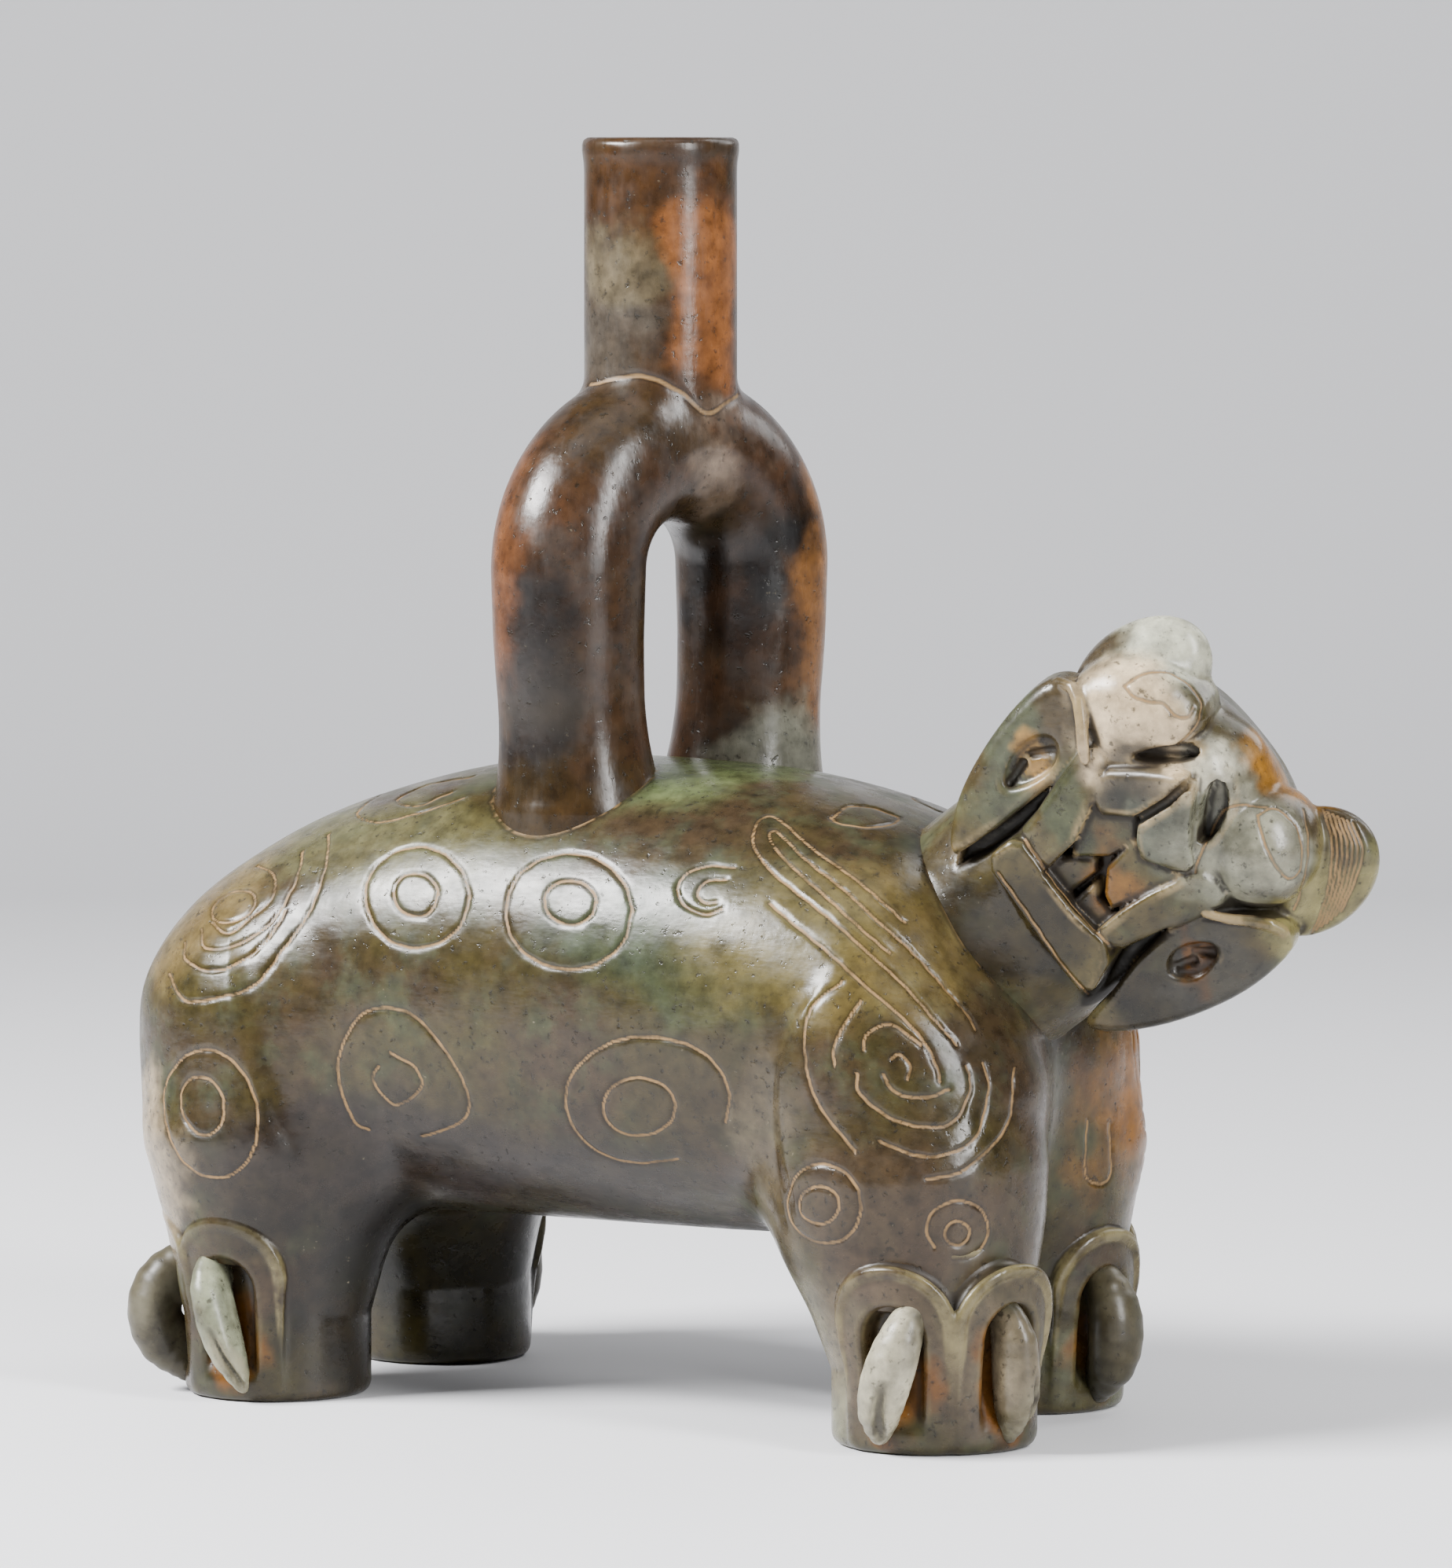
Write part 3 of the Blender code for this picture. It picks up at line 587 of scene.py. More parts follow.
def burnished_clay(name, ground, second, third, patches, pale, streak=(0.35, 1.0, 1.0)):
    """Burnished reduced clay: a mottled ground, fire clouds and stains, painted shade and painted highlights at given
    places, painted shade in the creases and along the incised lines, rubbed edges with a painted highlight, and pale
    earth in the incised lines."""
    material, tree, shader = new_material(name)
    place = add_node(tree, "ShaderNodeTexCoord").outputs["Object"]
    shifted = add_node(tree, "ShaderNodeVectorMath", {"operation": "SUBTRACT"}, {0: place})
    shifted.inputs[1].default_value = LEGS_MIDDLE
    scaled = add_node(tree, "ShaderNodeVectorMath", {"operation": "SCALE"}, {0: shifted.outputs[0], "Scale": 1.0 / MM})
    place = scaled.outputs[0]
    warp = add_node(tree, "ShaderNodeTexNoise", None, {"Vector": place, "Scale": 1.0 / 13.0, "Detail": 3.0})
    warped = add_node(tree, "ShaderNodeVectorMath", {"operation": "MULTIPLY_ADD"}, {0: warp.outputs["Color"]})
    warped.inputs[1].default_value = (22.0, 22.0, 22.0)
    tree.links.new(place, warped.inputs[2])
    centred = add_node(tree, "ShaderNodeVectorMath", {"operation": "SUBTRACT"}, {0: warped.outputs[0]})
    centred.inputs[1].default_value = (11.0, 11.0, 11.0)
    broad = noise(tree, place, 30.0, 4.0, 1.0)
    middle = noise(tree, place, 9.0, 5.0, 2.0)
    fine = noise(tree, place, 1.5, 3.0, 3.0)
    base = mix_colour(tree, ramp(tree, broad, 0.38, 0.62), ground, second)
    base = mix_colour(tree, combine(tree, "MULTIPLY", ramp(tree, middle, 0.46, 0.70), 0.7), base, third)
    for centre, radii, tint, strength in patches:
        offset = add_node(tree, "ShaderNodeVectorMath", {"operation": "SUBTRACT"}, {0: centred.outputs[0]})
        offset.inputs[1].default_value = centre
        shrunk = add_node(tree, "ShaderNodeVectorMath", {"operation": "DIVIDE"}, {0: offset.outputs[0]})
        shrunk.inputs[1].default_value = radii
        length = add_node(tree, "ShaderNodeVectorMath", {"operation": "LENGTH"}, {0: shrunk.outputs[0]})
        share = ramp(tree, length.outputs["Value"], 1.20, 0.60)
        grain = ramp(tree, middle, 0.25, 0.6)
        share = combine(tree, "MULTIPLY", share, combine(tree, "MULTIPLY_ADD", grain, 0.3 * strength, 0.7 * strength))
        base = mix_colour(tree, share, base, tint)
    dark_specks = combine(tree, "MULTIPLY", ramp(tree, fine, 0.56, 0.70), 0.70)
    base = mix_colour(tree, dark_specks, base, "15120C")
    tiny = noise(tree, place, 0.9, 2.0, 7.0)
    spots = combine(tree, "MULTIPLY", ramp(tree, tiny, 0.66, 0.76), ramp(tree, middle, 0.50, 0.66))
    base = mix_colour(tree, combine(tree, "MULTIPLY", spots, 0.55), base, "6A6250")
    uneven = combine(tree, "MULTIPLY_ADD", noise(tree, place, 3.6, 7.0, 11.0), 2.4, -0.2)
    base = add_node(tree, "ShaderNodeHueSaturation", None, {"Color": base, "Value": uneven}).outputs["Color"]
    crease = add_node(tree, "ShaderNodeAttribute", {"attribute_name": "crease"}).outputs["Fac"]
    edge = add_node(tree, "ShaderNodeAttribute", {"attribute_name": "edge"}).outputs["Fac"]
    incised = add_node(tree, "ShaderNodeAttribute", {"attribute_name": "incised"}).outputs["Fac"]
    # Painted shade: the crease mask darkens hollows and creases towards near black and makes them rougher.
    crease_shade = combine(tree, "MULTIPLY", ramp(tree, crease, 0.16, 0.62), 0.85)
    base = mix_colour(tree, crease_shade, base, "171009")
    # Convex edges are painted paler: partly rubbed clay, partly a painted highlight.
    rubbed_edge_and_highlight = combine(tree, "MULTIPLY", ramp(tree, edge, 0.26, 0.80), combine(tree, "MULTIPLY", ramp(tree, middle, 0.35, 0.65), 0.75))
    base = mix_colour(tree, rubbed_edge_and_highlight, base, pale)
    broken = ramp(tree, noise(tree, place, 5.0, 3.0, 9.0), 0.30, 0.56)
    fill = combine(tree, "MULTIPLY", ramp(tree, incised, 0.30, 0.85), combine(tree, "MULTIPLY_ADD", broken, 0.65, 0.25))
    # Painted shade: a dark band along both sides of every incised line and seam.
    side = combine(tree, "MULTIPLY", ramp(tree, incised, 0.05, 0.35), 0.50)
    base = mix_colour(tree, side, base, "130E09")
    base = mix_colour(tree, fill, base, "80643F")
    tree.links.new(base, shader.inputs["Base Color"])
    stretched = add_node(tree, "ShaderNodeVectorMath", {"operation": "MULTIPLY"}, {0: place})
    stretched.inputs[1].default_value = streak
    strokes = noise(tree, stretched.outputs[0], 2.6, 3.0, 4.0)
    rough = combine(tree, "MULTIPLY_ADD", ramp(tree, middle, 0.35, 0.70), 0.12, 0.20)
    rough = combine(tree, "MULTIPLY_ADD", ramp(tree, strokes, 0.40, 0.70), 0.10, rough)
    rough = combine(tree, "MULTIPLY_ADD", crease_shade, 0.30, rough)
    rough = combine(tree, "MULTIPLY_ADD", fill, 0.35, rough)
    tree.links.new(rough, shader.inputs["Roughness"])
    height = combine(tree, "MULTIPLY", strokes, 0.30)
    height = combine(tree, "MULTIPLY_ADD", noise(tree, place, 6.0, 3.0, 5.0), 0.55, height)
    height = combine(tree, "MULTIPLY_ADD", ramp(tree, fine, 0.60, 0.74), -0.25, height)
    bump = add_node(tree, "ShaderNodeBump", None, {"Strength": 0.35, "Distance": 0.0006})
    tree.links.new(height, bump.inputs["Height"])
    tree.links.new(bump.outputs["Normal"], shader.inputs["Normal"])
    shader.inputs["Specular IOR Level"].default_value = 0.32
    return material


# Each patch: centre, radii, tint, strength. Fire clouds and stains, with some painted shade and painted highlights
# marked below.
BODY_PATCHES = [
    ((-40.0, -44.0, 46.0), (46.0, 26.0, 17.0), "1E1716", 0.85),
    ((10.0, -44.0, 42.0), (26.0, 26.0, 15.0), "1D1614", 0.75),
    ((30.0, -40.0, 92.0), (34.0, 26.0, 14.0), "2D3626", 0.70),
    ((6.0, 0.0, 120.0), (26.0, 30.0, 16.0), "4F5A38", 0.80),
    ((-52.0, -30.0, 106.0), (44.0, 28.0, 10.0), "514F35", 0.60),
    ((58.0, -38.0, 92.0), (34.0, 24.0, 16.0), "534725", 0.65),
    # Painted highlight: the upper haunch made lighter.
    ((-84.0, -34.0, 92.0), (20.0, 26.0, 18.0), "625232", 0.65),
    ((-106.0, 0.0, 78.0), (14.0, 40.0, 26.0), "2C1E12", 0.80),
    # Painted shade: near black where the belly meets the near rear leg.
    ((-62.0, -26.0, 36.0), (26.0, 26.0, 16.0), "0E0A05", 0.75),
    ((72.0, -44.0, 46.0), (22.0, 26.0, 18.0), "33271C", 0.80),
    ((74.0, 36.0, 60.0), (18.0, 26.0, 22.0), "724500", 0.70),
    # Painted shade: near black under the belly.
    ((0.0, 0.0, 34.0), (90.0, 36.0, 9.0), "080703", 0.60),
    ((84.0, -8.0, 104.0), (16.0, 24.0, 14.0), "6E6235", 0.60),
    ((-70.0, -29.5, 8.0), (24.0, 24.0, 18.0), "1F1B09", 0.60),
    ((56.0, -34.0, 16.0), (9.0, 14.0, 20.0), "71715B", 0.70),
    ((66.0, 34.0, 12.0), (28.0, 22.0, 16.0), "4E513B", 0.70),
    ((-88.0, -46.0, 46.0), (12.0, 16.0, 20.0), "8A7B64", 0.80),
    ((-106.0, -26.0, 62.0), (10.0, 16.0, 22.0), "735F48", 0.80),
    ((34.0, -46.0, 66.0), (22.0, 20.0, 14.0), "282012", 0.70),
    ((47.0, -42.0, 56.0), (7.0, 16.0, 22.0), "453C2D", 0.60),
    # Painted shade: near black low on the front of the near rear leg, under the belly.
    ((-50.0, -30.0, 20.0), (14.0, 22.0, 22.0), "0A0704", 0.85),
    # Painted shade: near black low on the far rear leg.
    ((-70.0, 30.0, 20.0), (26.0, 24.0, 26.0), "070604", 0.85),
    ((71.0, -30.0, 20.0), (26.0, 26.0, 18.0), "4B3F31", 0.70),
]
for leg, claws in CLAWS.items():
    for turn, reach, lean, wide in claws:
        x = LEGS[leg][0] + LEGS[leg][2] * math.cos(math.radians(turn))
        y = LEGS[leg][1] + LEGS[leg][2] * math.sin(math.radians(turn))
        BODY_PATCHES.append(((x, y, 14.0), (7.0, 7.0, 12.0), "593300", 0.75))
body_clay = burnished_clay("burnished_olive_clay", "312B15", "2D2317", "2F3422", BODY_PATCHES, "756B4A")
# Lines drawn on the flank, haunch, shoulder and legs
FLANK_LINES = [
    ring((-58.7, -21.5), 9.9, 9.6),
    ring((-59.0, -21.0), 4.2, 4.1),
    ring((-29.9, -24.2), 12.0, 11.1),
    ring((-29.6, -22.5), 4.9, 4.2),
    ring((-15.0, -60.1), 15.6, 12.1, start=-20.0, end=292.0),
    ring((-16.6, -61.4), 6.9, 5.5),
    [(1.5, -15.8), (-3.0, -15.4), (-7.0, -16.8), (-9.2, -19.8), (-8.0, -23.0), (-4.2, -24.6), (-0.5, -23.6)],
    [(0.0, -18.0), (-3.4, -18.2), (-5.4, -20.4), (-4.0, -22.6), (-1.6, -22.4)],
    [(-58.0, -67.0), (-50.0, -64.0), (-49.2, -59.0), (-54.0, -49.7), (-61.0, -43.3), (-69.0, -43.6),
     (-73.8, -53.0), (-71.0, -63.5), (-68.0, -65.8)],
    [(-64.0, -51.0), (-59.0, -54.0), (-58.0, -58.0), (-63.0, -61.0), (-67.0, -56.5), (-66.0, -53.6)],
    [(-46.0, 4.2), (-55.0, 2.8), (-64.0, -0.8), (-70.0, -5.4), (-66.0, -7.2), (-58.0, -5.2), (-50.0, -2.6)],
    [(-48.0, 1.6), (-56.0, 0.0), (-62.5, -3.0), (-59.0, -4.0), (-52.0, -1.4)],
    [(20.0, -6.3), (23.0, -4.2), (27.5, -4.4), (32.8, -6.6), (28.0, -8.0), (22.0, -7.4), (20.0, -6.3)],
]
HAUNCH_LINES = [
    ring((-93.6, -23.2), 4.4, 2.7, 28.0),
    [(-99.8, -27.5), (-99.0, -31.0), (-93.0, -30.6), (-86.4, -26.0), (-81.6, -18.0), (-80.6, -12.8)],
    [(-97.8, -26.2), (-94.6, -28.2), (-89.8, -25.0), (-86.2, -21.5), (-86.2, -17.0), (-89.0, -15.4)],
    [(-103.0, -30.0), (-102.6, -33.4), (-97.5, -35.6), (-92.0, -33.6), (-87.2, -29.4), (-83.6, -24.0)],
    [(-106.0, -36.0), (-103.0, -41.0), (-97.0, -40.8), (-89.5, -38.0), (-83.8, -31.0), (-78.6, -23.0),
     (-76.2, -15.5), (-75.6, -9.6)],
    ring((-97.9, -62.7), 8.9, 12.3, 12.0),
    ring((-99.5, -61.1), 4.1, 5.6, 12.0),
]
SHOULDER_LINES = [
    [(9.0, -17.0), (5.4, -12.0), (6.0, -7.4), (9.4, -6.4), (17.0, -12.5), (29.0, -21.6), (34.0, -26.2)],
    [(9.0, -17.0), (18.0, -24.2), (30.0, -34.6), (41.0, -46.0), (43.8, -49.6)],
    [(31.0, -32.0), (20.0, -22.4), (9.2, -12.0), (9.4, -9.0), (16.0, -14.8), (28.0, -25.0), (38.0, -34.6),
     (45.5, -43.4), (47.4, -46.6)],
    [(8.2, -22.6), (17.0, -30.0), (27.0, -38.7), (37.0, -48.0), (40.0, -53.6), (40.6, -56.6)],
    [(31.3, -52.2), (32.8, -51.2), (34.9, -53.4), (34.6, -56.0)],
    [(29.8, -55.2), (31.3, -57.8), (34.0, -59.3), (38.5, -59.6), (42.4, -58.0)],
    [(26.0, -50.5), (26.6, -47.6), (31.2, -45.6), (37.0, -49.6)],
    [(24.8, -55.0), (25.5, -59.0), (33.0, -64.3), (42.5, -64.6), (46.4, -58.5), (45.6, -53.5)],
    [(20.4, -53.5), (20.8, -48.8), (25.6, -41.3)],
    [(29.0, -67.8), (38.5, -70.9), (47.0, -67.6), (50.0, -58.5), (48.8, -53.0)],
    [(22.0, -37.4), (16.0, -43.0), (14.9, -52.5), (18.2, -62.0), (24.6, -70.0)],
    [(38.0, -75.0), (46.0, -73.0), (53.6, -64.5), (54.8, -54.0)],
    ring((18.6, -79.8), 7.0, 7.6, 20.0),
    ring((17.6, -80.0), 3.8, 3.6, 20.0),
    ring((44.1, -84.6), 5.9, 5.4, start=-100.0, end=220.0),
    ring((44.0, -85.4), 2.3, 2.4),
]
FAR_LEG_LINES = [[(68.7, -64.0), (68.6, -74.5), (72.8, -75.0), (73.0, -64.5)]]
BODY_STEP = 1.5
body_verts, body_quads = skin(body_field, (-116.0, -64.0, -4.0), (98.0, 64.0, 130.0), BODY_STEP)
body_mesh = mesh_arrays(settle(body_field, body_verts), body_quads, "body")
near_lines = [on_clay(body_field, line) for line in FLANK_LINES + HAUNCH_LINES + SHOULDER_LINES]
far_lines = [mirrored(body_field, line) for line in near_lines]
far_lines += [on_clay(body_field, line) for line in FAR_LEG_LINES]
body_drawn = incise(body_mesh, body_field, np.concatenate(near_lines + far_lines), 2)

# The stirrup and spout: a hand-rolled tube bent to a U with one straight spout on its crown
# Fired clay, open all the way down. Its arms are set on the back at a slight turn.
TUBE_RADIUS = 14.6
TUBE_WALL = 4.2
TUBE_FLARE = 1.12
TUBE_WAIST = 0.95
ARM_SPREAD = 46.4
STIRRUP_TURN = math.radians(18.0)
STIRRUP_X = -2.4
SPRINGING = 158.5
SPOUT_RADIUS = 14.5
SPOUT_RIM = 239.9


def stirrup_coordinates(points):
    """Across the stirrup's plane and out of it."""
    x = points[:, 0] - STIRRUP_X
    y = points[:, 1]
    across = x * math.sin(STIRRUP_TURN) + y * math.cos(STIRRUP_TURN)
    out = x * math.cos(STIRRUP_TURN) - y * math.sin(STIRRUP_TURN)
    return across, out


def tube_share(height):
    """Radius of the tube at a height as a share: flared root, slight waist, plain arch."""
    root, waist = 114.5, 134.5
    flare = np.clip((waist - height) / (waist - root), 0.0, 1.0) ** 2.2
    rise = np.clip((height - waist) / (SPRINGING - waist), 0.0, 1.0)
    return TUBE_WAIST + (TUBE_FLARE - TUBE_WAIST) * flare + (1.0 - TUBE_WAIST) * rise


def stirrup_tube(points, wall, root_share, bottom):
    """The U of the stirrup, drawn in by a wall."""
    across, out = stirrup_coordinates(points)
    level = points[:, 2]
    half = 0.5 * ARM_SPREAD - 2.6 * np.clip((148.0 - level) / 32.0, 0.0, 1.0) ** 1.6
    share = 1.0 + (tube_share(level) - 1.0) * root_share
    arm = np.hypot(np.abs(across) - half, out) - (TUBE_RADIUS * share - wall)
    arch = np.hypot(np.hypot(across, level - SPRINGING) - half, out) - (TUBE_RADIUS - wall)
    tube = np.where(level > SPRINGING, arch, arm)
    return np.maximum(tube, bottom - level)


def stirrup_field(points):
    """Stirrup and spout with their open bore."""
    across, out = stirrup_coordinates(points)
    level = points[:, 2]
    round_way = np.hypot(across, out)
    lip = 0.4 * np.exp(-((level - SPOUT_RIM + 2.0) / 2.2) ** 2)
    spout = np.maximum(round_way - SPOUT_RADIUS - lip, 182.0 - level)
    solid = blend(stirrup_tube(points, 0.0, 1.0, 104.0), spout, 3.2)
    solid = -blend(-solid, SPOUT_RIM - level, 1.4)
    bore = np.maximum(round_way - SPOUT_RADIUS + TUBE_WALL, 182.0 - level)
    hollow = np.minimum(stirrup_tube(points, TUBE_WALL, 0.3, 109.0), bore)
    return carve(solid, hollow, 1.4)


STIRRUP_PATCHES = (
    ((-10.0, -36.0, 138.0), (12.0, 12.0, 24.0), "0F0B09", 0.95),
    # Orange-brown clay, made lighter on the near arm's lit rear edge: partly a painted highlight.
    ((-20.0, -28.0, 160.0), (12.0, 14.0, 26.0), "5D3921", 0.70),
    ((-8.0, -22.0, 115.0), (30.0, 30.0, 12.0), "271D09", 0.60),
    # Painted shade: near black on the far arm's inner side.
    ((8.0, 16.0, 158.0), (12.0, 12.0, 22.0), "030202", 0.95),
    # Orange-brown clay, made lighter on the far arm's lit outer side: partly painted light.
    ((18.0, 30.0, 150.0), (12.0, 14.0, 34.0), "714A22", 0.75),
    # Painted highlight: pale grey low on the front of the far arm.
    ((14.0, 18.0, 122.0), (14.0, 14.0, 10.0), "6A6A5E", 0.80),
    # Painted highlight: pale where the arch's crown meets the spout.
    ((0.0, 0.0, 182.0), (14.0, 14.0, 12.0), "786859", 0.65),
    ((2.0, -10.0, 228.0), (18.0, 16.0, 10.0), "311D0A", 0.80),
    ((12.0, -4.0, 212.0), (8.0, 12.0, 22.0), "6E4322", 0.85),
    ((-6.0, -14.0, 205.0), (12.0, 10.0, 14.0), "3C3730", 0.80),
    # Painted highlight on the near side of the spout.
    ((-2.0, -14.0, 216.0), (12.0, 8.0, 7.0), "574E3A", 0.50),
)
stirrup_clay = burnished_clay(
    "burnished_brown_clay", "291E10", "302014", "2D2621", STIRRUP_PATCHES, "60533C", (1.0, 1.0, 0.25)
)
stirrup_verts, stirrup_quads = skin(stirrup_field, (-36.0, -50.0, 100.0), (30.0, 50.0, 244.0), 1.0)
stirrup_mesh = mesh_arrays(settle(stirrup_field, stirrup_verts), stirrup_quads, "stirrup_and_spout")
joint = on_clay(stirrup_field, [(-26.0, 76.0), (-19.9, 77.2), (-14.6, 77.1), (-8.2, 74.1), (-3.3, 70.5), (2.4, 73.8)])
paint(stirrup_mesh, "incised", 0.8 * incise(stirrup_mesh, stirrup_field, joint, 1, 0.8, 0.3))
finish_piece(stirrup_mesh, "stirrup_and_spout", stirrup_field, stirrup_clay)

# The head: a round neck and a flat-faced skull, twisted to look over the right flank
# Fired clay, modelled by hand with added ears, eyes, lips, fangs and free-tipped cheek plates.
HEAD_CENTRE = np.array((111.5, 0.0, 123.0))
NECK_PITCH = math.radians(36.0)
HEAD_TURN = math.radians(18.0)
head_up = np.array((math.cos(NECK_PITCH), 0.0, math.sin(NECK_PITCH)))
head_side = np.array((math.sin(NECK_PITCH), 0.0, -math.cos(NECK_PITCH)))
head_out = np.array((0.0, -1.0, 0.0)) * math.cos(HEAD_TURN) + head_side * math.sin(HEAD_TURN)
head_right = np.cross(head_up, head_out)
head_axes = np.stack((head_right, head_out, head_up))


def ball(points, centre, radii):
    """An ellipsoid."""
    away = points - np.asarray(centre, dtype=float)
    radii = np.asarray(radii, dtype=float)
    first = np.sqrt(((away / radii) ** 2).sum(axis=1))
    second = np.sqrt(((away / radii ** 2) ** 2).sum(axis=1))
    return first * (first - 1.0) / np.maximum(second, 1e-6)


def outline_distance(right, up, outline):
    """Signed distance to a closed outline in the plane of the face."""
    nearest = np.full(right.shape, 1e9)
    inside = np.zeros(right.shape, dtype=bool)
    count = len(outline)
    for i in range(count):
        (x0, y0), (x1, y1) = outline[i], outline[(i + 1) % count]
        dx, dy = x1 - x0, y1 - y0
        share = np.clip(((right - x0) * dx + (up - y0) * dy) / (dx * dx + dy * dy), 0.0, 1.0)
        nearest = np.minimum(nearest, np.hypot(right - x0 - share * dx, up - y0 - share * dy))
        crosses = (y0 > up) != (y1 > up)
        if dy != 0.0:
            inside ^= crosses & (right < x0 + (up - y0) * dx / dy)
    return np.where(inside, -nearest, nearest)


def plate(points, outline, back, front, soft, lean=0.0, pitch=0.0):
    """A soft-edged plate: its outline in the face's plane, between two depths; lean and pitch tilt
    its front as depth for each millimetre of right and up."""
    corners = np.array(outline)
    low, high = corners.min(axis=0), corners.max(axis=0)
    flat = points[:, (0, 2)]
    away = np.linalg.norm(np.maximum(np.maximum(low - flat, flat - high), 0.0), axis=1)
    field = away + 1.0
    near = away < 4.0
    if not near.any():
        return field
    part = points[near]
    middle = corners.mean(axis=0)
    side = outline_distance(part[:, 0], part[:, 2], outline) + soft
    depth = part[:, 1] - lean * (part[:, 0] - middle[0]) - pitch * (part[:, 2] - middle[1])
    deep = np.maximum(back - depth, depth - front) + soft
    both = np.hypot(np.maximum(side, 0.0), np.maximum(deep, 0.0))
    inner = np.minimum(np.maximum(side, deep), 0.0)
    field[near] = (both + inner - soft) / math.sqrt(1.0 + lean ** 2 + pitch ** 2)
    return field


def skull_raw(points):
    """Level function of the skull."""
    away = np.abs(points - np.array((1.0, -0.5, -9.5))) / np.array((26.5, 22.0, 22.0))
    return ((away ** 2.5).sum(axis=1) ** (1.0 / 2.5) - 1.0) * 23.0


def face_field(points):
    """Skull, neck and face in the head's own axes: right, out, up."""
    field = true_distance(skull_raw, points)
    field = blend(field, ball(points, (0.0, 7.0, -1.0), (22.0, 14.5, 17.5)), 6.0)
    neck = np.hypot(points[:, 0], points[:, 1] * 1.02) - 23.2
    neck = np.maximum(neck, points[:, 2] + 12.0)
    neck = np.maximum(neck, -62.0 - points[:, 2])
    field = blend(field, neck, 6.0)
    near = (points[:, 1] > -14.0) & (points[:, 2] > -44.0)
    if near.any():
        field[near] = features(points[near], field[near])
    return field


def soften(outline, rounds=2):
    """Rounds the corners of an outline by cutting them off again and again."""
    for _ in range(rounds):
        cut = []
        for (x0, y0), (x1, y1) in zip(outline, outline[1:] + outline[:1]):
            cut.append((0.75 * x0 + 0.25 * x1, 0.75 * y0 + 0.25 * y1))
            cut.append((0.25 * x0 + 0.75 * x1, 0.25 * y0 + 0.75 * y1))
        outline = tuple(cut)
    return outline


def oval(centre, half_width, half_height, lean, count=18):
    """An oval outline, leaned by an angle in degrees."""
    points = []
    for step in range(count):
        turn = 2.0 * math.pi * step / count
        across = half_width * math.cos(turn)
        along = half_height * math.sin(turn)
        swing = math.radians(lean)
        points.append((
            centre[0] + across * math.cos(swing) - along * math.sin(swing),
            centre[1] + across * math.sin(swing) + along * math.cos(swing),
        ))
    return tuple(points)


LEFT_LEAF = soften((
    (-27.0, 1.6), (-31.8, -2.5), (-32.0, -10.5), (-30.0, -20.0), (-26.5, -29.5), (-22.5, -35.8),
    (-17.6, -40.2), (-14.8, -36.0), (-15.6, -28.0), (-16.2, -16.0), (-16.6, -6.0), (-20.5, -1.0),
))
RIGHT_LEAF = soften((
    (18.6, -7.6), (24.0, -2.8), (29.0, 2.2), (34.8, 0.6), (36.2, -10.0), (35.0, -20.0),
    (31.5, -31.0), (26.0, -40.0), (21.6, -41.8), (20.2, -33.0), (18.0, -25.0), (17.6, -16.0),
))
LEFT_ROLL = soften((
    (-19.0, -2.0), (-12.8, -2.6), (-9.6, -9.0), (-6.4, -15.5), (-4.4, -26.5), (-13.4, -26.5),
    (-15.4, -17.0), (-17.6, -9.0),
), 1)
RIGHT_ROLL = soften((
    (10.8, -3.6), (13.6, -0.6), (20.4, -1.6), (19.2, -11.0), (16.6, -18.0), (15.0, -26.0),
    (9.0, -26.0), (8.8, -18.0), (9.4, -12.0),
), 1)
LEFT_LIP = soften((
    (-13.6, -4.4), (-9.6, 2.0), (-5.4, 7.6), (-2.0, 10.2), (-1.2, 3.4), (-1.9, -3.6), (-7.0, -10.2),
    (-10.8, -8.6),
), 1)
RIGHT_LIP = soften((
    (-2.2, 10.6), (1.8, 7.0), (6.2, 1.6), (12.2, -2.6), (8.4, -6.4), (4.0, -9.4), (0.4, -7.4),
    (-2.2, -3.6), (-1.6, 3.4),
), 1)
JAW = soften((
    (-13.8, -24.4), (-4.6, -25.0), (4.3, -25.3), (14.4, -24.2), (19.2, -35.0), (8.0, -34.9),
    (-3.0, -33.9), (-14.0, -32.9),
), 1)
MOUTH = (
    (-9.4, -9.2), (-5.9, -16.8), (-4.9, -25.4), (4.3, -25.7), (9.4, -25.0), (9.2, -18.0),
    (9.8, -12.4), (11.0, -6.0), (8.0, -6.0), (4.0, -8.6), (0.8, -6.8), (-2.3, -3.4), (-6.8, -9.4),
)
# Each tooth: outline, front
TEETH = (
    (((-11.0, -9.0), (-3.0, -3.4), (1.4, -7.6), (0.4, -14.2), (-4.0, -20.2), (-7.6, -15.5)), 21.4),
    (((0.2, -7.4), (4.0, -7.4), (12.0, -4.5), (11.0, -12.0), (8.2, -20.6), (5.2, -19.8), (1.4, -15.8)), 21.7),
    (((-7.0, -27.0), (-4.6, -21.0), (-1.0, -16.8), (1.3, -18.4), (1.3, -27.0)), 20.2),
    (((2.6, -27.0), (2.4, -19.2), (5.0, -21.2), (10.6, -21.0), (10.6, -27.0)), 20.4),
)
LEFT_EYE = soften((
    (-29.0, -0.5), (-27.6, 5.9), (-23.6, 11.8), (-18.1, 16.0), (-11.3, 17.5), (-7.4, 15.6), (-6.4, 9.8),
    (-7.9, 3.9), (-11.1, -1.2), (-15.7, -5.1), (-21.8, -3.2),
), 1)
LEFT_HOLLOW = soften(((-21.2, -23.6), (-24.8, -19.1), (-25.8, -13.4), (-23.8, -9.2), (-20.6, -9.2), (-18.4, -12.9), (-18.9, -18.4)))
RIGHT_HOLLOW = soften(((24.0, -22.0), (21.2, -18.1), (22.3, -13.4), (25.4, -10.2), (28.2, -13.4), (28.0, -19.2)))
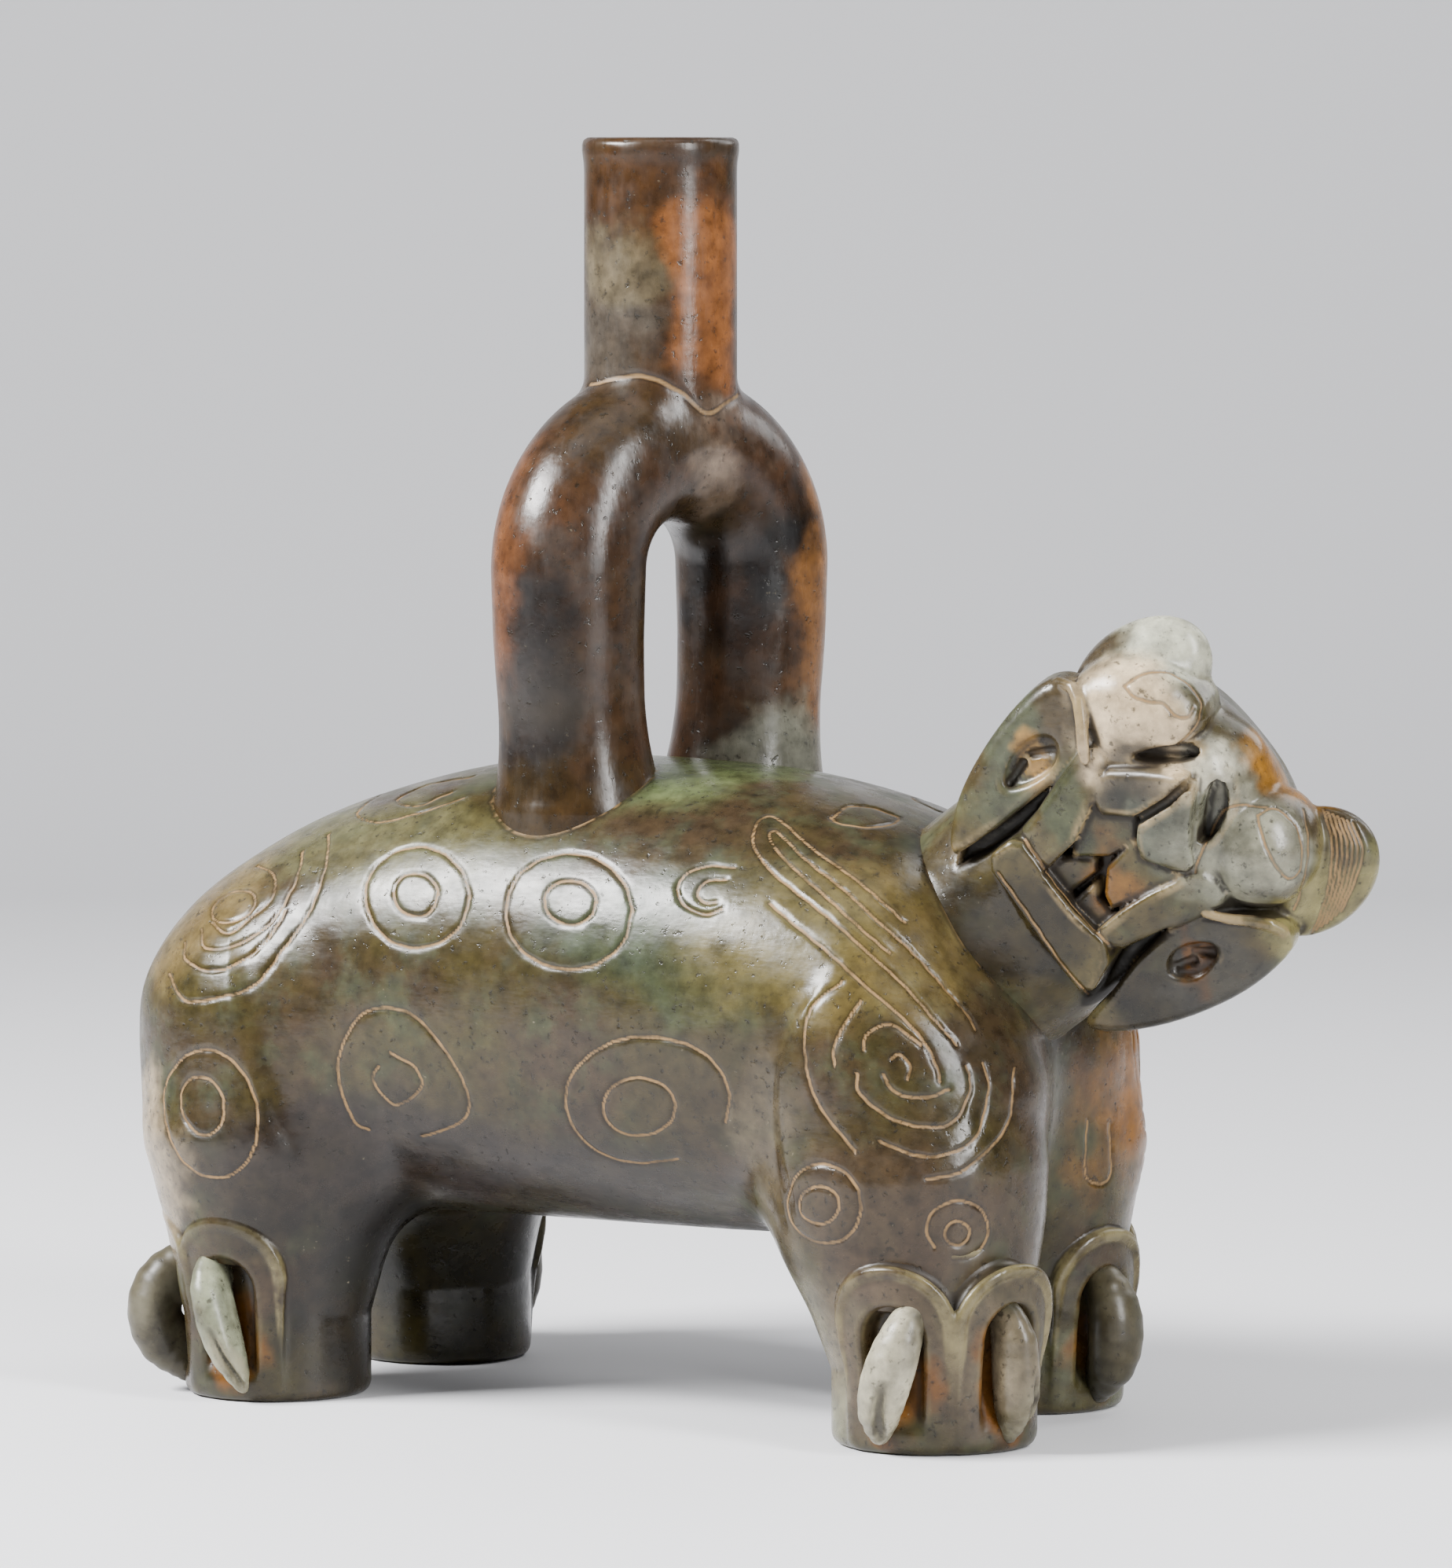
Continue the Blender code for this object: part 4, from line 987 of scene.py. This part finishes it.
LEFT_NOSTRIL = soften(((-12.0, 1.2), (-10.6, 6.4), (-7.4, 11.0), (-4.4, 12.4), (-4.2, 10.0), (-8.6, 3.6)), 1)
RIGHT_NOSTRIL = soften(((0.4, 11.4), (3.2, 12.2), (7.0, 9.0), (9.2, 4.4), (8.4, 1.0), (5.8, 3.4), (2.2, 7.6)), 1)
LEFT_GAP = ((-16.4, -14.0), (-14.4, -20.0), (-13.4, -26.5), (-13.6, -34.0), (-15.0, -41.0), (-17.0, -38.0), (-16.2, -27.0))
RIGHT_GAP = ((17.2, -14.0), (16.2, -21.0), (15.4, -26.0), (19.2, -36.0), (21.4, -42.0), (20.8, -34.0), (18.4, -24.0))


def features(q, field):
    """The face's added and cut forms."""
    field = blend(field, ball(q, (-20.4, 5.6, 6.4), (10.4, 7.0, 15.2)), 2.0)
    field = blend(field, ball(q, (26.2, 4.0, 7.2), (11.2, 6.2, 14.6)), 1.0)
    fold = chain(
        q,
        ((14.0, 7.0, 13.4), (20.5, 8.5, 12.2), (25.4, 8.5, 7.0), (28.2, 8.0, 0.0), (29.6, 7.0, -5.0)),
        (2.0, 3.4, 4.0, 4.0, 3.4),
    )
    field = blend(field, fold, 1.5)
    bridge = chain(q, ((-1.2, 16.6, 3.5), (-0.6, 14.6, 8.0), (0.5, 8.0, 11.0)), (5.0, 6.6, 6.0))
    field = blend(field, bridge, 4.0)
    field = blend(field, plate(q, LEFT_EYE, 2.0, 19.6, 5.0, lean=0.12, pitch=-0.10), 0.7)
    field = blend(field, ball(q, (-16.6, 9.0, 6.0), (11.5, 12.4, 9.5)), 4.0)
    field = blend(field, ball(q, (16.6, 8.6, 5.6), (11.4, 13.2, 11.4)), 0.7)
    field = blend(field, plate(q, LEFT_ROLL, 6.0, 22.0, 2.0, lean=0.22), 0.9)
    field = blend(field, plate(q, RIGHT_ROLL, 6.0, 22.2, 2.0, lean=-0.30), 0.9)
    field = blend(field, plate(q, LEFT_LIP, 8.0, 24.0, 1.6, lean=0.22, pitch=0.12), 0.4)
    field = blend(field, plate(q, RIGHT_LIP, 8.0, 24.6, 1.6, lean=-0.16, pitch=0.12), 0.4)
    field = blend(field, plate(q, JAW, 4.0, 24.0, 1.1), 0.8)
    field = carve(field, plate(q, MOUTH, 16.5, 32.0, 0.5), 0.6)
    for outline, front in TEETH:
        field = blend(field, plate(q, outline, 12.0, front, 1.4), 0.3)
    field = carve(field, plate(q, LEFT_NOSTRIL, 16.5, 32.0, 0.6), 0.6)
    field = carve(field, plate(q, RIGHT_NOSTRIL, 16.5, 32.0, 0.6), 0.6)
    parting = chain(q, ((-1.9, 25.2, 10.4), (-1.5, 24.6, 3.4), (-2.1, 23.8, -3.4)), (1.0, 1.0, 1.0))
    field = carve(field, parting, 0.5)
    field = blend(field, plate(q, LEFT_LEAF, 10.5, 18.4, 2.4, lean=0.24, pitch=-0.02), 0.7)
    field = blend(field, plate(q, RIGHT_LEAF, 9.5, 17.8, 2.4, lean=-0.24, pitch=-0.02), 0.7)
    field = carve(field, plate(q, LEFT_GAP, 13.0, 32.0, 0.5), 0.7)
    field = carve(field, plate(q, RIGHT_GAP, 12.0, 32.0, 0.5), 0.7)
    left_rim = chain(
        q,
        ((-30.4, 15.0, -2.4), (-28.0, 17.2, 0.2), (-25.3, 18.8, 0.0), (-22.3, 20.2, -1.4), (-18.4, 21.6, -4.0), (-16.4, 21.8, -5.2)),
        (0.8, 1.1, 1.2, 1.2, 1.1, 0.8),
    )
    right_rim = chain(
        q,
        ((19.4, 20.2, -6.8), (22.9, 18.9, -4.4), (25.6, 17.8, -1.9), (28.4, 16.8, 0.2), (31.0, 15.6, 0.8), (33.8, 14.0, -1.0)),
        (0.8, 1.0, 1.1, 1.1, 1.0, 0.8),
    )
    field = blend(field, left_rim, 0.6)
    field = blend(field, right_rim, 0.6)
    field = carve(field, plate(q, LEFT_HOLLOW, 16.9, 32.0, 0.8, lean=0.1), 1.2)
    field = carve(field, plate(q, RIGHT_HOLLOW, 16.2, 32.0, 0.8, lean=-0.1), 1.2)
    for start, end in (
        ((-21.2, 17.0, -21.8), (-22.6, 16.6, -17.4)), ((-23.0, 16.6, -15.2), (-21.2, 17.2, -11.2)),
        ((24.2, 16.4, -19.8), (25.2, 16.2, -16.6)), ((24.0, 16.4, -15.2), (26.2, 16.0, -12.8)),
    ):
        field = carve(field, roll(q, start, end, 0.8, 1.0), 0.4)
    return field


def head_field(points):
    """The head in the vessel's own axes."""
    return face_field((points - HEAD_CENTRE) @ head_axes.T)


HEAD_LINES = [
    [(75.6, 18.7), (77.9, 20.4), (81.2, 21.4), (84.6, 21.0), (87.7, 19.1), (90.1, 16.0), (90.1, 13.2),
     (88.8, 10.1), (86.0, 7.5)],
    [(75.6, 18.7), (77.3, 16.8), (80.1, 15.7), (82.9, 15.3), (85.5, 12.9), (87.7, 12.6), (88.8, 14.6)],
    [(94.7, 17.7), (98.1, 14.6), (102.6, 9.2), (105.9, 4.7), (108.8, -0.9)],
    [(102.6, -4.2), (98.1, -4.0), (94.7, -5.1), (91.9, -9.9), (89.9, -13.8), (89.1, -16.6)],
    [(100.9, -5.9), (103.4, -4.4), (106.2, -5.6), (108.8, -8.7), (109.5, -13.2), (108.8, -16.9),
     (107.1, -18.0), (105.1, -16.3), (102.9, -12.4), (101.5, -8.7), (100.9, -5.9)],
    [(109.6, -4.8), (110.8, -11.0), (110.2, -17.2), (107.9, -23.9)],
    [(56.6, -10.4), (61.0, -16.6), (66.6, -23.9), (72.8, -30.4)],
    [(51.5, -16.9), (57.1, -24.5), (62.7, -32.9), (68.9, -40.2)],
]
for step in range(7):
    share = step / 6.0
    HEAD_LINES.append([
        (113.3 + 5.6 * share, -4.6 - 2.6 * share),
        (115.2 + 5.8 * share, -12.0 - 0.6 * share),
        (114.2 + 5.6 * share, -20.3 + 2.2 * share),
        (111.4 + 5.4 * share, -28.6 + 4.2 * share),
    ])
HEAD_PATCHES = []
for centre, radii, tint, strength in (
    # Painted highlight: pale on top of the left ear.
    ((-20.0, 6.0, 14.0), (12.0, 12.0, 12.0), "9F9F8D", 0.85),
    ((-26.0, 16.0, -18.0), (8.0, 12.0, 20.0), "363B2D", 0.70),
    # Painted highlight: pale on the left eye.
    ((-16.0, 20.0, 6.0), (12.0, 12.0, 13.0), "B39F80", 0.85),
    ((-21.6, 17.0, -16.4), (4.6, 6.0, 7.0), "7A5C2D", 0.90),
    # Painted shade: near black under the right cheek plate.
    ((27.0, 14.0, -26.0), (9.0, 12.0, 14.0), "060506", 0.75),
    ((2.0, 17.0, -15.0), (12.0, 7.0, 9.0), "5D3C11", 0.85),
    ((-8.0, 24.0, -1.0), (6.0, 8.0, 8.0), "070704", 0.85),
    ((4.0, 24.0, 1.0), (7.0, 8.0, 8.0), "4C4F45", 0.70),
    # Painted highlight: pale on the brow and nose bridge.
    ((0.0, 18.0, 12.0), (9.0, 10.0, 8.0), "B8B4A0", 0.70),
    ((8.0, 4.0, 14.0), (14.0, 10.0, 8.0), "835610", 0.70),
    ((16.0, 20.0, 5.0), (11.0, 12.0, 12.0), "7B7A6A", 0.70),
    ((30.0, 4.0, 6.0), (12.0, 12.0, 18.0), "706940", 0.75),
    ((27.0, 16.0, -14.0), (10.0, 12.0, 12.0), "2B2924", 0.90),
    ((-1.0, 24.0, -29.0), (22.0, 6.0, 7.0), "2A2416", 0.80),
    ((-11.0, 22.0, -14.0), (5.0, 8.0, 12.0), "2F3322", 0.80),
    ((25.4, 17.0, -15.6), (4.6, 6.0, 7.0), "482900", 0.90),
    # Painted shade: near black under the jaw.
    ((-2.0, 22.0, -40.0), (26.0, 16.0, 12.0), "0F0902", 0.70),
):
    spot = HEAD_CENTRE + np.array(centre) @ head_axes
    HEAD_PATCHES.append((tuple(spot), radii, tint, strength))
head_clay = burnished_clay("burnished_tan_clay", "3C341B", "352D1F", "3C402D", HEAD_PATCHES, "8C7854")
head_verts, head_quads = skin(head_field, (54.0, -50.0, 62.0), (156.0, 44.0, 168.0), 0.72)
head_mesh = mesh_arrays(settle(head_field, head_verts), head_quads, "head")
head_spots = np.concatenate([on_clay(head_field, line) for line in HEAD_LINES])
paint(head_mesh, "incised", incise(head_mesh, head_field, head_spots, 1, 0.42, 0.35))
finish_piece(head_mesh, "head", head_field, head_clay)

# Pale earth has stayed in the seams round the arms and the neck; like the incised lines, the seams also get the band of
# painted shade along their sides.
body_points = points_of(body_mesh)
arm_seam = np.exp(-(np.clip(stirrup_field(body_points), -4.0, 4.0) / 0.7) ** 2) * (body_points[:, 2] > 90.0)
neck_seam = np.exp(-(np.clip(head_field(body_points), -4.0, 4.0) / 0.9) ** 2)
paint(body_mesh, "incised", np.maximum(body_drawn, np.maximum(0.7 * arm_seam, 0.5 * neck_seam)))
finish_piece(body_mesh, "body", bare_body, body_clay)

# The front paws and the rear paws: lower legs with two scalloped toe pads each
# Fired clay. Each pad has a raised rim above and an arched recess from which the claw grows.
PAD_HALF_WIDTH = 10.6
PAD_TOP = 34.5
PAD_SPRING = 23.0
PAD_THICK = 1.8
RECESS_HALF_WIDTH = 5.6
RECESS_TOP = 27.6
RECESS_SPRING = 21.0
RECESS_FOOT = 3.5
RECESS_DEPTH = 2.4


def round_leg(points, leg, turn):
    """Distance out from a leg's axis and distance round it from a turn."""
    x, y, foot = LEGS[leg][:3]
    dx, dy = points[:, 0] - x, points[:, 1] - y
    swing = np.arctan2(dy, dx) - math.radians(turn)
    swing = np.arctan2(np.sin(swing), np.cos(swing))
    return np.hypot(dx, dy), swing * foot


def arch(side, level, half_width, spring, top):
    """Distance to the outline of an arch."""
    rise = np.maximum(level - spring, 0.0) * half_width / (top - spring)
    return np.hypot(side, rise) - half_width


def paws_field(points):
    """All four paws."""
    field = bare_body(points)
    field = field + 0.02 * np.maximum(points[:, 2] - SEAM_HEIGHT, 0.0)
    level = points[:, 2]
    for leg, claws in CLAWS.items():
        x, y, foot = LEGS[leg][:3]
        near = np.hypot(points[:, 0] - x, points[:, 1] - y) < 34.0
        if not near.any():
            continue
        part = points[near]
        height = level[near]
        ring_field = field[near]
        for turn, reach, lean, wide in claws:
            out, side = round_leg(part, leg, turn)
            face = foot + PAD_THICK * np.clip((height - 2.0) / 18.0, 0.0, 1.0) + 0.10 * np.maximum(height - 16.0, 0.0)
            edge = arch(side, height, PAD_HALF_WIDTH, PAD_SPRING, PAD_TOP)
            pad = -blend(face - out, -edge, 2.4)
            ring_field = blend(ring_field, pad, 2.0)
            rim = np.hypot(out - face + 0.2, edge + 0.3) - 0.95 * np.clip((height - 12.0) / 12.0, 0.0, 1.0)
            ring_field = blend(ring_field, rim, 0.9)
        for turn, reach, lean, wide in claws:
            out, side = round_leg(part, leg, turn)
            edge = np.maximum(arch(side, height, RECESS_HALF_WIDTH, RECESS_SPRING, RECESS_TOP), RECESS_FOOT - height)
            deep = np.clip((height - RECESS_FOOT) / 11.0, 0.0, 1.0)
            floor_of = foot + 1.6 - (RECESS_DEPTH + 1.6) * deep * (2.0 - deep)
            ring_field = carve(ring_field, -blend(out - floor_of, -edge, 1.2), 1.2)
        field[near] = ring_field
    field = -blend(-field, level, 2.6)
    around = [np.hypot(points[:, 0] - LEGS[leg][0], points[:, 1] - LEGS[leg][1]) for leg in LEGS]
    return np.maximum(field, np.maximum(level - 38.0, np.min(around, axis=0) - 32.0))


CLAW_PATCHES = (
    ((73.0, -50.0, 18.0), (9.0, 12.0, 16.0), "A8A28C", 0.95),
    ((-70.0, -52.0, 16.0), (8.0, 12.0, 16.0), "7C806A", 0.85),
    ((94.0, -34.0, 18.0), (9.0, 12.0, 10.0), "6A5F4C", 0.80),
)
claw_clay = burnished_clay("rubbed_claw_clay", "383629", "47412F", "2E3026", CLAW_PATCHES, "8E8870")
for name, pair in (("front_paws", ("front_right", "front_left")), ("rear_paws", ("rear_right", "rear_left"))):
    pair_verts, pair_quads = [], []
    for leg in pair:
        x, y = LEGS[leg][:2]

        def paw_alone(points):
            """One paw, without its neighbours."""
            return np.maximum(paws_field(points), np.hypot(points[:, 0] - x, points[:, 1] - y) - 31.0)

        paw_verts, paw_quads = skin(paw_alone, (x - 34.0, y - 34.0, -2.0), (x + 34.0, y + 34.0, 42.0), 0.62)
        pair_quads.append(paw_quads + sum(len(verts) for verts in pair_verts))
        pair_verts.append(settle(paw_alone, paw_verts))
    paw_mesh = mesh_arrays(np.concatenate(pair_verts), np.concatenate(pair_quads), name)
    paint(paw_mesh, "incised", np.zeros(len(paw_mesh.vertices)))
    finish_piece(paw_mesh, name, paws_field, body_clay)

# The claws: eight thick hooked talons of rolled clay, with a small hole behind each
# Fired clay. Each springs from its recess, bows out and comes back to the paw near the floor.
# Along a claw: how far out as a share of its reach, height, half-thickness
CLAW_COURSE = (
    (-0.4, 24.6, 3.4), (0.3, 24.4, 4.0), (0.85, 20.4, 4.9), (1.0, 15.0, 5.2), (0.75, 9.4, 4.6), (0.0, 4.8, 3.0),
)


def claws_field(points):
    """All eight claws."""
    field = np.full(len(points), 20.0)
    for leg, claws in CLAWS.items():
        x, y, foot = LEGS[leg][:3]
        for turn, reach, lean, wide in claws:
            middle = np.array((x + 22.0 * math.cos(math.radians(turn)), y + 22.0 * math.sin(math.radians(turn)), 14.0))
            near = np.abs(points - middle).max(axis=1) < 22.0
            if not near.any():
                continue
            out, side = round_leg(points[near], leg, turn)
            level = points[near, 2]
            share = reach - 5.2 - foot
            side = side - lean * (14.0 - level) / 21.0
            flat = np.stack((out, side * 10.4 / wide, level), axis=1)
            course = run_through([(foot + step * share, 0.0, height, thick) for step, height, thick in CLAW_COURSE], 2.0)
            claw = chain(flat, course[:, :3], course[:, 3])
            web_top = roll(flat, (foot + 1.0, 0.0, 24.0), (foot + 3.0, 0.0, 20.8), 4.0, 4.2)
            web_foot = roll(flat, (foot + 1.0, 0.0, 6.5), (foot + 3.0, 0.0, 11.2), 3.0, 4.0)
            claw = blend(claw, np.minimum(web_top, web_foot), 1.0)
            if lean != 0.0:
                groove = chain(
                    flat,
                    ((reach + 0.2, 1.2, 14.0), (reach - 1.6, 1.2, 9.0), (reach - 6.0, 1.2, 3.5)),
                    (0.7, 1.0, 1.0),
                )
                claw = carve(claw, groove, 0.8)
            field[near] = np.minimum(field[near], 0.65 * claw)
    return field


claw_verts, claw_quads = skin(claws_field, (-104.0, -60.0, -2.0), (104.0, 60.0, 36.0), 0.55)
claw_mesh = mesh_arrays(settle(claws_field, claw_verts), claw_quads, "claws")
paint(claw_mesh, "incised", np.zeros(len(claw_mesh.vertices)))
finish_piece(claw_mesh, "claws", claws_field, claw_clay)
